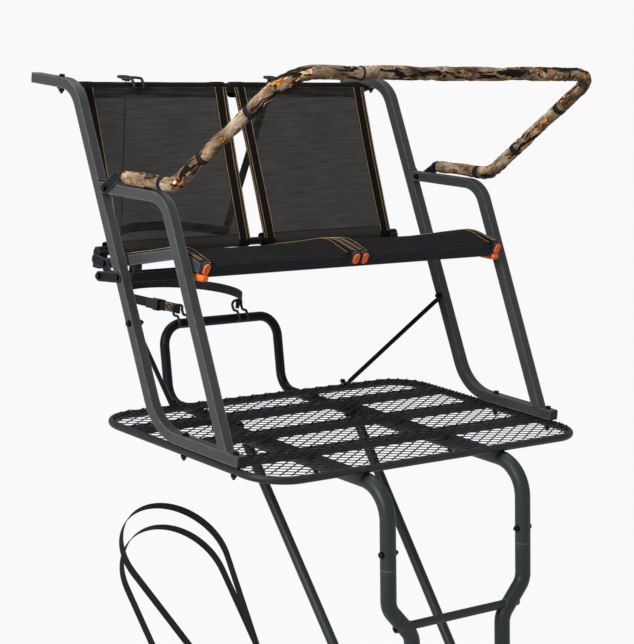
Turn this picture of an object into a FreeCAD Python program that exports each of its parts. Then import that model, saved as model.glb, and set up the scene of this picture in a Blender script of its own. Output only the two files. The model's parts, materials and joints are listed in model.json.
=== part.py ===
import FreeCAD, Part
import math
import os

import Sketcher
from FreeCAD import Placement, Rotation, Vector

# Two-person ladder tree stand.  Millimetres, +Z up, +Y towards the tree, ladder in front.
# The origin lies on the ground, midway between the ladder's feet.

os.makedirs("parts", exist_ok=True)
doc = FreeCAD.newDocument("LadderTreeStand")
sheet = doc.addObject("Spreadsheet::Sheet", "Sizes")

# ---------------------------------------------------------------- driving dimensions
SIZES = {
    # platform: a bent rim of round tube, crossbars and expanded metal
    "platform_width": 1054, "platform_depth": 690, "platform_height": 3600,
    "rim_tube": 19, "rim_wall": 1.5, "rim_corner": 92,
    "crossbar_width": 25, "crossbar_wall": 1.5, "crossbar_first": 191, "crossbar_pitch": 177,
    "strand_width": 3, "strand_thickness": 1.5, "diamond_long": 44, "diamond_short": 27,
    # side frames: square tube
    "frame_tube": 25.4, "frame_wall": 1.6, "frame_inset": 12,
    "skid_front": 117, "skid_rear": 430,
    "back_lean": 27.6, "post_foot": 166, "post_lean": 27, "arm_rise": 566, "arm_drop": 9,
    "back_rise": 791, "extension_rear": 1018,
    "skid_bend": 130, "arm_bend": 70, "top_bend": 80,
    # bars between the side frames
    "top_bar": 25.4, "top_bar_wall": 1.5, "top_bar_back": 902, "bar_flat": 4, "bar_press": 15,
    "rest_bar_rise": 352, "low_bar": 20, "low_bar_back": 745, "low_bar_rise": 394,
    "low_leg": 43, "plate": 4, "plate_height": 25, "plate_bolt_back": 683, "plate_bolt_rise": 343,
    "backrest_inner": 30, "backrest_inset": 25, "bumper": 22,
    # seats
    "seat_inset": 37, "seat_pivot_back": 706, "seat_pivot_rise": 369,
    "seat_crest_back": 432, "seat_crest_rise": 437, "seat_front_back": 342, "seat_front_rise": 417,
    "seat_bend": 110, "front_bar_height": 28, "front_bar_depth": 22, "cloth": 3, "sling_rear": 690,
    "rear_bar": 16, "rear_bar_back": 615, "pivot_tail": 13,
    "cap_width": 24, "cap_height": 38, "cap_face": 15,
    "cap_leg": 17, "cap_wall": 3, "cap_leg_length": 46,
    # shooting rail
    "rail_tube": 22, "rail_wall": 1.5, "tab_weld": 1, "rail_front_inset": 25,
    "rail_pivot_back": 677, "rail_heel_back": 630, "pad_heel_back": 612, "rail_knee_back": 419,
    "rail_front_back": 60, "rail_front_rise": 894, "rail_bend": 80, "pad_outer": 36, "tab_width": 26,
    "tie_width": 14, "tie_thickness": 1.5, "tie_heel": 24, "tie_knee": 95,
    "tie_rise": 152, "tie_shoulder": 192, "tie_front": 197,
    # tree brace, tie rods, ladder braces
    "brace_tube": 25.4, "brace_wall": 1.5, "brace_back": 821,
    "brace_rise": 161, "brace_top_back": 868, "brace_bend": 58, "brace_start": 525,
    "tie_rod": 12, "tie_wall": 1.5, "tie_top_rise": 250, "tie_foot_spread": 285,
    "strut_tube": 25.4, "strut_wall": 1.5, "strut_press": 32, "strut_foot": 820,
    # ladder
    "ladder_tube": 38, "ladder_wall": 1.5, "ladder_lean": 6.93, "ladder_reach": 53,
    "ladder_start": 575, "ladder_wide": 223, "ladder_narrow": 150, "ladder_bend": 90, "taper_bend": 45,
    "socket_drop": 232, "taper_top": 322, "taper_bottom": 398, "rung_first": 372,
    "rung_pitch": 330, "rung_tube": 21, "rung_wall": 1.5, "rung_overhang": 2,
    "spigot_length": 90, "seam_first": 1197, "seam_second": 2187, "spigot_step": 8,
    "foot_height": 40, "foot_tube": 46, "foot_sole": 8,
    # straps and hardware
    "webbing": 25, "webbing_thick": 2, "trunk": 330, "trunk_back": 1035, "trunk_lean": 3.2,
    "hook_wire": 6, "hook_bend": 10, "hook_shank": 8, "lower_hook_left": 137, "lower_hook_right": 62,
    "upper_hook_left": 298, "upper_hook_right": 182, "saddle_back": 52, "saddle_eye": 34, "wrap_rise": 360,
    "stay_drop": 1850, "stay_top": 600,
    "crossed_stay_drop": 1500, "crossed_stay_step": 90, "crossed_stay_top": 530,
    "buckle_length": 44, "buckle_sheet": 2, "buckle_depth": 13, "lever_length": 36, "buckle_pin": 5,
    "spacer": 16, "pivot_bolt": 10, "bolt_head": 13, "bolt_head_height": 5.5,
    "gap": 0.3, "pin_fit": 0.05,
}
for row, (name, value) in enumerate(SIZES.items(), start=1):
    sheet.set("A%d" % row, name)
    sheet.set("B%d" % row, str(value))
    sheet.setAlias("B%d" % row, name)
doc.recompute()


def size(name):
    return float(sheet.get(name))


GAP = size("gap")
nodes = []


# ---------------------------------------------------------------- reference lines
def run(rise, lean):
    return rise * math.tan(math.radians(size(lean)))


deck = size("platform_height")
front = run(deck, "ladder_lean") + size("ladder_reach")
mesh = 2 * size("strand_thickness")
rim_axis = -mesh - size("rim_tube") / 2
rim_bottom = -mesh - size("rim_tube")
ladder_axis = rim_bottom - size("ladder_tube") / 2
side = size("platform_width") / 2 - size("frame_inset")
half_tube = size("frame_tube") / 2
inner_rail = half_tube + size("plate") / 2 + GAP
outer_rail = side - size("seat_inset")
rail_side = side + half_tube + GAP + size("tab_weld") - size("rail_tube") / 2
brace_x = size("ladder_wide") - size("ladder_tube") / 2 - size("brace_tube") / 2 - GAP


def spot(x, back, rise):
    """A point given by its distance behind the platform's front edge and above its deck."""
    return Vector(x, front + back, deck + rise)


def ladder_spot(x, drop):
    """A point on the ladder's centre plane, given by its drop below the deck."""
    height = deck - drop
    return Vector(x, run(height, "ladder_lean"), height)


# ---------------------------------------------------------------- shape helpers
def disc(point, direction, radius):
    return Part.Face(Part.Wire([Part.makeCircle(radius, point, direction)]))


def ring(point, direction, outer, inner):
    return disc(point, direction, outer).cut(disc(point, direction, inner)).Faces[0]


def rectangle(point, direction, across, wide, thick):
    """A rectangular face, wide along the given cross direction."""
    up = direction.cross(across).normalize() * (thick / 2)
    out = Vector(across).normalize() * (wide / 2)
    corners = [point + out + up, point - out + up, point - out - up, point + out - up]
    return Part.Face(Part.makePolygon(corners + corners[:1]))


def octagon(point, radius):
    """A level eight-sided face."""
    angles = [math.radians(45 * number + 22.5) for number in range(9)]
    return Part.Face(Part.makePolygon(
        [point + Vector(math.cos(angle), math.sin(angle), 0) * radius for angle in angles]))


def bent(points, radii, section):
    """A section carried along straight runs joined by tangent bends."""
    if not isinstance(radii, (list, tuple)):
        radii = [radii] * (len(points) - 2)
    pieces = []
    start = points[0]
    for before, corner, after, radius in zip(points, points[1:], points[2:], radii):
        to_corner = (corner - before).normalize()
        from_corner = (after - corner).normalize()
        turn = to_corner.getAngle(from_corner)
        first = corner - to_corner * (radius * math.tan(turn / 2))
        pieces.append(section.extrude(first - start))
        section = section.translated(first - start)
        centre = corner + (from_corner - to_corner).normalize() * (radius / math.cos(turn / 2))
        axis = to_corner.cross(from_corner)
        pieces.append(section.revolve(centre, axis, math.degrees(turn)))
        section = section.rotated(centre, axis, math.degrees(turn))
        start = corner + from_corner * (radius * math.tan(turn / 2))
    pieces.append(section.extrude(points[-1] - start))
    return pieces[0].multiFuse(pieces[1:]) if len(pieces) > 1 else pieces[0]


def bent_tube(points, radii, outer, wall, square=False):
    """A hollow tube bent along a path, round or square in section."""
    along = points[1] - points[0]
    if square:
        across = Vector(1, 0, 0)
        hollow = rectangle(points[0], along, across, outer - 2 * wall, outer - 2 * wall)
        section = rectangle(points[0], along, across, outer, outer).cut(hollow).Faces[0]
    else:
        section = ring(points[0], along, outer / 2, outer / 2 - wall)
    return bent(points, radii, section)


def rod(start, end, radius):
    return Part.makeCylinder(radius, (end - start).Length, start, end - start)


def pipe(start, end, outer, wall):
    return rod(start, end, outer / 2).cut(rod(start, end, outer / 2 - wall))


def box_between(low, high):
    extent = high - low
    return Part.makeBox(extent.x, extent.y, extent.z, low)


def bar_between(start, end, across, wide, thick):
    """A flat bar from start to end, wide along the cross direction."""
    return rectangle(start, end - start, across, wide, thick).extrude(end - start)


def mirrored(shape):
    return shape.mirror(Vector(0, 0, 0), Vector(1, 0, 0))


def mirror_point(point):
    return Vector(-point.x, point.y, point.z)


def feature(label, shape):
    item = doc.addObject("Part::Feature", label)
    item.Label = label
    item.Shape = shape
    nodes.append(item)


def feature_pair(label, right_shape):
    feature("right_" + label, right_shape)
    feature("left_" + label, mirrored(right_shape))


def beyond(point, outward):
    """A block that lies wholly beyond a plane, for trimming a tube's end."""
    reach = size("back_rise") / 2
    block = Part.makeBox(reach, reach, reach, Vector(-reach / 2, -reach / 2, 0))
    block.Placement = Placement(point, Rotation(Vector(0, 0, 1), outward))
    return block


def annulus(centre, axis, inner, outer, length):
    ends = centre + Vector(axis).normalize() * length
    return rod(centre, ends, outer).cut(rod(centre, ends, inner))


# ---------------------------------------------------------------- sketch-built bodies
def plane_of(body, role):
    return next(item for item in body.Origin.OriginFeatures if item.Role == role)


def box_loop(sketch, width, depth):
    """A centred rectangle whose sides follow two expressions."""
    index = sketch.GeometryCount
    ends = [(-1, -1), (1, -1), (1, 1), (-1, 1)]
    points = [Vector(10 * x, 10 * y, 0) for x, y in ends]
    for start, end in zip(points, points[1:] + points[:1]):
        sketch.addGeometry(Part.LineSegment(start, end), False)
    for number in range(4):
        following = index + (number + 1) % 4
        sketch.addConstraint(Sketcher.Constraint("Coincident", index + number, 2, following, 1))
    for number, kind in enumerate(("Horizontal", "Vertical", "Horizontal", "Vertical")):
        sketch.addConstraint(Sketcher.Constraint(kind, index + number))
    sketch.addConstraint(Sketcher.Constraint("Symmetric", index, 1, index + 1, 2, -1, 1))
    for edge, kind, expression in ((index, "DistanceX", width), (index + 1, "DistanceY", depth)):
        place = sketch.addConstraint(Sketcher.Constraint(kind, edge, 1, edge, 2, 20))
        sketch.setExpression("Constraints[%d]" % place, expression)


def circle_loop(sketch, radius):
    index = sketch.addGeometry(Part.Circle(Vector(0, 0, 0), Vector(0, 0, 1), 10), False)
    sketch.addConstraint(Sketcher.Constraint("Coincident", index, 3, -1, 1))
    place = sketch.addConstraint(Sketcher.Constraint("Radius", index, 10))
    sketch.setExpression("Constraints[%d]" % place, radius)


def padded_body(label, loops, length, centre):
    """A section in the body's YZ plane, padded both ways along X about its centre."""
    body = doc.addObject("PartDesign::Body", label)
    body.Label = label
    sketch = body.newObject("Sketcher::SketchObject", label + "_section")
    sketch.AttachmentSupport = [(plane_of(body, "YZ_Plane"), "")]
    sketch.MapMode = "FlatFace"
    for loop in loops:
        if len(loop) == 2:
            box_loop(sketch, *loop)
        else:
            circle_loop(sketch, *loop)
    pad = body.newObject("PartDesign::Pad", label + "_pad")
    pad.Profile = sketch
    pad.setExpression("Length", length)
    pad.Midplane = True
    sketch.Visibility = False
    body.Placement = Placement(centre, Rotation())
    nodes.append(body)
    return body


# ---------------------------------------------------------------- fasteners
def hex_prism(centre, direction, height):
    across = size("bolt_head") / math.sqrt(3)
    turn = Rotation(Vector(0, 0, 1), direction)
    corners = []
    for step in range(7):
        angle = math.radians(60 * step)
        flat = Vector(across * math.cos(angle), across * math.sin(angle), 0)
        corners.append(centre + turn.multVec(flat))
    return Part.Face(Part.makePolygon(corners)).extrude(Vector(direction).normalize() * height)


def pivot(head, tail):
    """A hex bolt between its head seat and its nut seat, with its nut run on."""
    along = (tail - head).normalize()
    height = size("bolt_head_height")
    ends = [hex_prism(head, along * -1, height), hex_prism(tail, along, height)]
    return rod(head, tail, size("pivot_bolt") / 2).multiFuse(ends)


def pivot_hole(shape, head, tail):
    """The shape with a running hole for a pivot bolt."""
    return shape.cut(rod(head, tail, size("pivot_bolt") / 2 + size("pin_fit")))


# ---------------------------------------------------------------- platform
def platform_rim():
    inset = size("rim_tube") / 2
    half = size("platform_width") / 2 - inset
    near, far = inset, size("platform_depth") - inset
    corners = [(0, near), (half, near), (half, far), (-half, far), (-half, near), (0, near)]
    points = [spot(x, back, rim_axis) for x, back in corners]
    return bent_tube(points, size("rim_corner"), size("rim_tube"), size("rim_wall"))


def crossbar_backs():
    return [size("crossbar_first") + number * size("crossbar_pitch") for number in range(3)]


def add_crossbars():
    outer = ("Sizes.crossbar_width", "Sizes.rim_tube")
    inner = ("Sizes.crossbar_width - 2 * Sizes.crossbar_wall",
             "Sizes.rim_tube - 2 * Sizes.crossbar_wall")
    for number, back in enumerate(crossbar_backs(), start=1):
        length = "Sizes.platform_width - 2 * Sizes.rim_tube"
        label = "platform_crossbar_%d" % number
        padded_body(label, [outer, inner], length, spot(0, back, rim_axis))


def mesh_outline(drop, height):
    """The platform's rounded outline, inset to the rim tube's crown."""
    inset = size("rim_tube") / 2
    reach = size("platform_width") / 2 - inset
    depth = size("platform_depth") - 2 * inset
    block = Part.makeBox(2 * reach, depth, height, spot(-reach, inset, -drop))
    upright_edges = [edge for edge in block.Edges if abs(edge.Length - height) < 1e-6]
    return block.makeFillet(size("rim_corner"), upright_edges)


def strand_layer(slant, drop):
    """One layer of the expanded metal: parallel strands that all slant one way."""
    thick = size("strand_thickness")
    outline = mesh_outline(drop, thick)
    half_deep = size("platform_depth") / 2
    lean_out = half_deep * size("diamond_long") / size("diamond_short")
    count = math.ceil((size("platform_width") / 2 + lean_out) / size("diamond_long"))
    strands = []
    for number in range(-count, count + 1):
        middle = number * size("diamond_long")
        start = spot(middle - lean_out, half_deep * (1 - slant), thick / 2 - drop)
        end = spot(middle + lean_out, half_deep * (1 + slant), thick / 2 - drop)
        across = (end - start).cross(Vector(0, 0, 1))
        strand = bar_between(start, end, across, size("strand_width"), thick)
        strands += strand.common(outline).Solids
    return Part.makeCompound(strands)


# ---------------------------------------------------------------- side frames
def back_post(rise):
    """A point of the right back post's axis."""
    return spot(side, size("skid_rear") + run(rise - half_tube, "back_lean"), rise)


def front_post(rise):
    """A point of the right front post's axis."""
    return spot(side, size("post_foot") + run(rise - half_tube, "post_lean"), rise)


def arm_point(back):
    """A point of the right arm's axis, which drops a little towards the back post."""
    start, end = front_post(size("arm_rise")), back_post(size("arm_rise") - size("arm_drop"))
    share = (front + back - start.y) / (end.y - start.y)
    return start + (end - start) * share


def seat_tube():
    """Skid, back post and rearward extension in one bent square tube."""
    top = size("back_rise")
    points = [spot(side, size("skid_front"), half_tube), back_post(half_tube), back_post(top)]
    points.append(spot(side, size("extension_rear"), top))
    radii = [size("skid_bend"), size("top_bend")]
    return bent_tube(points, radii, size("frame_tube"), size("frame_wall"), square=True)


def arm_tube():
    """Front post and arm in one bent square tube, trimmed to the skid and the back post."""
    rear = size("arm_rise") - size("arm_drop")
    points = [front_post(half_tube), front_post(size("arm_rise")), back_post(rear)]
    tube = bent_tube(points, size("arm_bend"), size("frame_tube"), size("frame_wall"), square=True)
    post_rake = (back_post(rear) - back_post(0)).normalize()
    forward = Vector(0, -post_rake.z, post_rake.y)
    tube = tube.cut(beyond(back_post(rear) + forward * half_tube, forward * -1))
    skid_top = front_post(2 * half_tube)
    tube = tube.cut(beyond(skid_top, Vector(0, 0, -1)))
    return pivot_hole(tube, *rail_pivot_bolt())


def rail_pivot_bolt():
    centre = arm_point(size("rail_pivot_back"))
    outer = half_tube + GAP + size("bar_flat") + GAP
    return centre + Vector(outer, 0, 0), centre - Vector(half_tube, 0, 0)


def rear_rim():
    return size("platform_depth") - size("rim_tube") / 2


# ---------------------------------------------------------------- bars between the side frames
def flattened(outer, wall, flats, press):
    """A round tube with ends pressed flat; each flat is given by its hole and face normal."""
    pieces, centres = [], []
    for (hole, normal), (other, unused) in zip(flats, reversed(flats)):
        away = other - hole
        in_plane = (away - normal * away.dot(normal)).normalize()
        across = normal.cross(in_plane).normalize()
        pieces.append(end_tab(hole, in_plane, across, outer - 2 * wall, press))
        crease = hole + in_plane * press
        axis = (other - crease).normalize()
        centres.append(crease + axis * outer)
        pieces.append(pressed_taper(crease, centres[-1], across, outer))
    return pipe(centres[0], centres[1], outer, wall).multiFuse(pieces)


def end_tab(hole, in_plane, across, wide, press):
    """A flat tab with a half-round end about its hole."""
    thick = size("bar_flat")
    lift = in_plane.cross(across).normalize() * (thick / 2)
    half = across * (wide / 2)
    far = hole + in_plane * (press + thick / 2)
    arc = Part.Arc(hole + half, hole - in_plane * (wide / 2), hole - half).toShape()
    lines = [Part.makeLine(start, end) for start, end in
             ((hole - half, far - half), (far - half, far + half), (far + half, hole + half))]
    outline = Part.Face(Part.Wire([arc] + lines))
    return outline.translated(lift * -1).extrude(lift * 2)


def pressed_taper(crease, centre, across, outer):
    """The stretch where a round tube is pressed down to its flat."""
    axis = centre - crease
    up = axis.cross(across).normalize()
    thin, full = up * (size("bar_flat") / 2), up * (outer / 2 + size("bar_flat"))
    out = across * outer
    corners = [crease + thin, crease - thin, centre - full, centre + full]
    wedge = Part.Face(Part.makePolygon([corner - out for corner in corners + corners[:1]]))
    return rod(crease, centre, outer / 2).common(wedge.extrude(out * 2))


def top_bar_rise():
    return size("back_rise") - half_tube - size("bar_flat") / 2


def top_crossbar():
    up = Vector(0, 0, 1)
    ends = [(spot(sign * side, size("top_bar_back"), top_bar_rise()), up) for sign in (1, -1)]
    return flattened(size("top_bar"), size("top_bar_wall"), ends, size("bar_press"))


def low_back_bar():
    """The backrests' lower bar, with a square leg welded under each end."""
    reach = side - half_tube - size("plate")
    centre = spot(0, size("low_bar_back"), size("low_bar_rise"))
    bar = rod(centre - Vector(reach, 0, 0), centre + Vector(reach, 0, 0), size("low_bar") / 2)
    width = 2 * half_tube
    for sign in (1, -1):
        foot = centre + Vector(sign * (reach - half_tube), 0, -size("low_leg"))
        head = foot + Vector(0, 0, size("low_leg"))
        bar = bar.fuse(bar_between(foot, head, Vector(1, 0, 0), width, width))
    return bar


def rest_bar_centre():
    return back_post(size("rest_bar_rise")) - Vector(side, 0, 0)


def link_plate(points, low, thick, wide):
    """A plate across X that follows a line of points with a rounded end at each."""
    plate = None
    for start, end in zip(points, points[1:]):
        first, last = Vector(low, start.y, start.z), Vector(low, end.y, end.z)
        half = Vector(thick / 2, 0, 0)
        across = Vector(1, 0, 0).cross(last - first)
        pieces = [bar_between(first + half, last + half, across, wide, thick)]
        pieces += [rod(point, point + half * 2, wide / 2) for point in (first, last)]
        link = pieces[0].multiFuse(pieces[1:])
        plate = plate.fuse(link) if plate else link
    return plate


def hinge_bracket():
    """Two plates that clamp the back post.  The inner one carries the leg and the seat's pivot."""
    start = back_post(size("rest_bar_rise"))
    middle = spot(side, size("plate_bolt_back"), size("plate_bolt_rise"))
    pivot = seat_pivot()
    leg_back = size("low_bar_back")
    leg = spot(side, leg_back, size("low_bar_rise") - size("low_leg") / 2)
    wide, thick = size("plate_height"), size("plate")
    outer = link_plate([start, middle], side + half_tube, thick, wide)
    low = side - half_tube - thick
    inner = link_plate([start, middle, pivot, leg], low, thick, wide)
    reach = Vector(half_tube, 0, 0)
    bracket = outer.multiFuse([rod(middle - reach, middle + reach, size("spacer") / 2), inner])
    return pivot_hole(bracket, *outer_pivot_bolt())


def center_bracket():
    start, end = rest_bar_centre(), spot(0, size("seat_pivot_back"), size("seat_pivot_rise"))
    plate = link_plate([start, end], -size("plate") / 2, size("plate"), size("plate_height"))
    plate = plate.cut(beyond(start + Vector(0, half_tube, 0), Vector(0, -1, 0)))
    return pivot_hole(plate, *inner_pivot_bolt())


def bumpers():
    """Rubber blocks on the rest bar, cut to the slope of the seat rails above them."""
    top = rest_bar_centre() + Vector(0, 0, half_tube)
    half = size("bumper") / 2
    blocks = []
    slope = (seat_crest() - seat_pivot()).normalize()
    upward = Vector(0, slope.z, -slope.y)
    seat = seat_pivot() - upward * (half_tube + GAP)
    for x in (outer_rail, inner_rail, -inner_rail, -outer_rail):
        low = top + Vector(x - half, -half, 0)
        block = Part.makeBox(2 * half, 2 * half, 4 * half, low)
        blocks.append(block.cut(beyond(Vector(x, seat.y, seat.z), upward)))
    return Part.makeCompound(blocks)


def backrest():
    """A fabric panel with a sleeve round each of its two bars."""
    low = spot(0, size("low_bar_back"), size("low_bar_rise"))
    high = spot(0, size("top_bar_back"), top_bar_rise())
    slope = (high - low).normalize()
    forward = Vector(0, -slope.z, slope.y)
    inner = size("backrest_inner")
    leg_side = side - 4 * half_tube - size("plate") - GAP
    loft_side = side - size("bar_press") - size("top_bar") - GAP
    shapes, bores = [], []
    for centre, tube, outer in ((low, size("low_bar"), leg_side), (high, size("top_bar"), loft_side)):
        radius = tube / 2 + GAP
        start, end = centre + Vector(inner, 0, 0), centre + Vector(outer, 0, 0)
        shapes.append(rod(start, end, radius + size("cloth")))
        bores.append(rod(start, end, radius))
    reach = GAP + size("cloth") / 2
    low_face = low + forward * (size("low_bar") / 2 + reach)
    face = high + forward * (size("top_bar") / 2 + reach) - low_face
    clear = size("top_bar") / face.Length
    wide_side = side - size("backrest_inset")
    for share, outer in ((0, min(leg_side, loft_side)), (clear, wide_side)):
        first = low_face + face * share + Vector((inner + outer) / 2, 0, 0)
        last = first + face * (1 - 2 * share)
        shapes.append(bar_between(first, last, Vector(1, 0, 0), outer - inner, size("cloth") - GAP))
    panel = shapes[0].multiFuse(shapes[1:])
    for bore in bores:
        panel = panel.cut(bore)
    return panel


# ---------------------------------------------------------------- seats
def seat_pivot(x=0):
    return spot(x, size("seat_pivot_back"), size("seat_pivot_rise"))


def seat_crest(x=0):
    return spot(x, size("seat_crest_back"), size("seat_crest_rise"))


def seat_front(x=0):
    return spot(x, size("seat_front_back"), size("seat_front_rise"))


def outer_pivot_bolt():
    centre = seat_pivot(0)
    outer = side - half_tube
    inner = outer_rail - half_tube - GAP
    return centre + Vector(outer, 0, 0), centre + Vector(inner, 0, 0)


def inner_pivot_bolt():
    reach = Vector(inner_rail + half_tube + GAP, 0, 0)
    return seat_pivot() + reach, seat_pivot() - reach


def seat_rail(x):
    tail = seat_pivot(x) + (seat_pivot(x) - seat_crest(x)).normalize() * size("pivot_tail")
    points = [tail, seat_crest(x), seat_front(x)]
    rail = bent_tube(points, size("seat_bend"), size("frame_tube"), size("frame_wall"), square=True)
    return pivot_hole(rail, seat_pivot(x - half_tube), seat_pivot(x + half_tube))


def above_rail(points, distance):
    """The rail's line in its YZ plane, moved off its upper side."""
    ways = [(end - start).normalize() for start, end in zip(points, points[1:])]
    rise = [Vector(0, way.z, -way.y) for way in ways]
    bisector = (rise[0] + rise[1]).normalize()
    reach = distance / math.cos(rise[0].getAngle(rise[1]) / 2)
    return [points[0] + rise[0] * distance, points[1] + bisector * reach, points[2] + rise[1] * distance]


def sling():
    """The seat's fabric, laid over both rails."""
    low, high = size("plate") / 2 + GAP, outer_rail + half_tube
    x = (low + high) / 2
    back = seat_pivot(x) - seat_crest(x)
    start = seat_crest(x) + back * ((size("sling_rear") - size("seat_crest_back")) / back.y)
    points = above_rail([start, seat_crest(x), seat_front(x)], half_tube + GAP + size("cloth") / 2)
    along = points[1] - points[0]
    section = rectangle(points[0], along, Vector(1, 0, 0), high - low, size("cloth"))
    return bent(points, size("seat_bend") + half_tube, section)


def end_cap(x):
    """A moulded cap: an oval face on the rail's end and a leg below the rail."""
    wide, tall = size("cap_width"), size("cap_height")
    front_end = seat_front(x)
    centre = front_end - Vector(0, size("cap_face"), wide / 8)
    depth = Vector(0, size("cap_face") + wide / 4, 0)
    half_run = Vector(0, 0, (tall - wide) / 2)
    oval = bar_between(centre, centre + depth, Vector(1, 0, 0), wide, tall - wide)
    pieces = [rod(centre + way, centre + depth + way, wide / 2) for way in (half_run, half_run * -1)]
    oval = oval.multiFuse(pieces)
    inward = (seat_crest(x) - front_end).normalize()
    oval = oval.cut(beyond(front_end, inward))
    leg_half = size("cap_leg") / 2
    foot = front_end - Vector(0, wide / 3, half_tube + size("cap_wall") + leg_half)
    heel = foot + Vector(0, size("cap_leg_length"), 0)
    leg = bar_between(foot, heel, Vector(1, 0, 0), wide, 2 * leg_half)
    round_end = rod(heel - Vector(wide / 2, 0, 0), heel + Vector(wide / 2, 0, 0), leg_half)
    return oval.multiFuse([leg, round_end])


def bar_middle():
    return (outer_rail + inner_rail) / 2


def add_seat(name, sign):
    ends = (outer_rail, inner_rail)
    rails = [seat_rail(x) for x in ends]
    caps = Part.makeCompound([end_cap(x) for x in ends])
    cloth = sling()
    if sign < 0:
        rails = [mirrored(rail) for rail in rails]
        caps, cloth = mirrored(caps), mirrored(cloth)
    feature(name + "_seat_outer_rail", rails[0])
    feature(name + "_seat_inner_rail", rails[1])
    feature(name + "_seat_caps", caps)
    feature(name + "_seat_sling", cloth)
    reach = "Sizes.platform_width / 2 - Sizes.frame_inset - Sizes.seat_inset"
    length = reach + " - 3 / 2 * Sizes.frame_tube - Sizes.plate / 2 - Sizes.gap"
    depth = size("front_bar_depth")
    centre = seat_front(sign * bar_middle()) + Vector(0, depth / 3, -size("front_bar_height") / 4)
    outer = ("Sizes.front_bar_depth", "Sizes.front_bar_height")
    padded_body(name + "_seat_front_bar", [outer], length, centre)
    slope = seat_crest() - seat_pivot()
    share = (size("rear_bar_back") - size("seat_pivot_back")) / slope.y
    normal = Vector(0, slope.z, -slope.y).normalize()
    lift = half_tube - size("rear_bar") / 2
    centre = seat_pivot(sign * bar_middle()) + slope * share + normal * lift
    padded_body(name + "_seat_rear_bar", [("Sizes.rear_bar / 2",)], length, centre)


# ---------------------------------------------------------------- shooting rail
def rail_line(heel_back):
    """Corners of the rail's path on the right side, from the heel to the front."""
    lift = half_tube + GAP + size("tie_thickness") + size("pad_outer") / 2
    lift = Vector(rail_side - side, 0, lift)
    front_x = rail_side - size("rail_front_inset")
    front_corner = spot(front_x, size("rail_front_back"), size("rail_front_rise"))
    return [arm_point(heel_back) + lift, arm_point(size("rail_knee_back")) + lift, front_corner]


def rail_path_points(heel_back):
    right = rail_line(heel_back)
    return right + [mirror_point(point) for point in reversed(right)]


def shooting_rail():
    points = rail_path_points(size("rail_heel_back"))
    rail = bent_tube(points, size("rail_bend"), size("rail_tube"), size("rail_wall"))
    pivot = arm_point(size("rail_pivot_back"))
    low = side + half_tube + GAP
    tab = link_plate([pivot, points[0]], low, size("bar_flat"), size("tab_width"))
    tab = pivot_hole(tab, *rail_pivot_bolt())
    bore = rod(points[0], points[1], size("rail_tube") / 2 - size("rail_wall"))
    tab = tab.cut(bore)
    return rail.multiFuse([tab, mirrored(tab)])


def rail_padding():
    points = rail_path_points(size("pad_heel_back"))
    wall = size("pad_outer") / 2 - size("rail_tube") / 2 - GAP
    return bent_tube(points, size("rail_bend"), size("pad_outer"), wall)


def pad_ties():
    """Elastic bands round the padding, in facing pairs."""
    right = rail_line(size("pad_heel_back"))
    bands = []
    radius = size("pad_outer") / 2
    runs = ((right[0], right[1], "tie_heel"), (right[1], right[0], "tie_knee"),
            (right[1], right[2], "tie_rise"), (right[2], right[1], "tie_shoulder"),
            (right[2], mirror_point(right[2]), "tie_front"))
    for start, end, distance in runs:
        along = (end - start).normalize()
        centre = start + along * size(distance)
        band = annulus(centre, along, radius, radius + size("tie_thickness"), size("tie_width"))
        bands += [band, mirrored(band)]
    return Part.makeCompound(bands)


# ---------------------------------------------------------------- tree brace, tie rods, struts
def tree_brace():
    low = rim_bottom - size("brace_tube") / 2
    x = brace_x
    right = [spot(x, size("brace_start"), low), spot(x, size("brace_back"), low)]
    right.append(spot(x, size("brace_top_back"), size("brace_rise")))
    points = right + [mirror_point(point) for point in reversed(right)]
    return bent_tube(points, size("brace_bend"), size("brace_tube"), size("brace_wall"))


def tie_rod():
    top = back_post(size("tie_top_rise")) - Vector(half_tube + size("bar_flat") / 2, 0, 0)
    foot = spot(size("tie_foot_spread"), rear_rim(), size("bar_flat") / 2)
    ends = [(top, Vector(1, 0, 0)), (foot, Vector(0, 0, 1))]
    return flattened(size("tie_rod"), size("tie_wall"), ends, size("bar_press"))


def strut_foot():
    return ladder_spot(size("ladder_narrow"), size("strut_foot"))


def strut():
    low = rim_bottom - size("brace_tube") - size("bar_flat") / 2
    top = spot(brace_x, crossbar_backs()[-1], low)
    foot = strut_foot() + Vector(size("ladder_tube") / 2 + size("bar_flat") / 2, 0, 0)
    ends = [(top, Vector(0, 0, 1)), (foot, Vector(1, 0, 0))]
    return flattened(size("strut_tube"), size("strut_wall"), ends, size("strut_press"))


# ---------------------------------------------------------------- ladder
def rail_x(drop):
    """The ladder rail's distance from the middle at a given drop below the deck."""
    share = (drop - size("taper_top")) / (size("taper_bottom") - size("taper_top"))
    share = min(max(share, 0), 1)
    return size("ladder_wide") + (size("ladder_narrow") - size("ladder_wide")) * share


def rung_drops():
    drops = []
    drop = size("rung_first")
    while drop < deck - size("foot_height"):
        drops.append(drop)
        drop += size("rung_pitch")
    return drops


def rung_ends(drop):
    x = rail_x(drop) + size("ladder_tube") / 2 + size("rung_overhang")
    if drop < size("taper_bottom"):
        x += size("spigot_step") - size("rung_overhang")
    return ladder_spot(-x, drop), ladder_spot(x, drop)


def rungs():
    outer, wall = size("rung_tube"), size("rung_wall")
    return Part.makeCompound([pipe(*rung_ends(drop), outer, wall) for drop in rung_drops()])


def ladder_slope():
    return (ladder_spot(0, 0) - ladder_spot(0, deck)).normalize()


def ladder_top():
    """The bent tube under the platform that carries the ladder."""
    x = size("ladder_wide")
    corner = ladder_spot(x, -ladder_axis)
    rear = Vector(x, front + size("ladder_start"), corner.z)
    points = [rear, corner, ladder_spot(x, size("socket_drop"))]
    return bent_tube(points, size("ladder_bend"), size("ladder_tube"), size("ladder_wall"))


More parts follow.
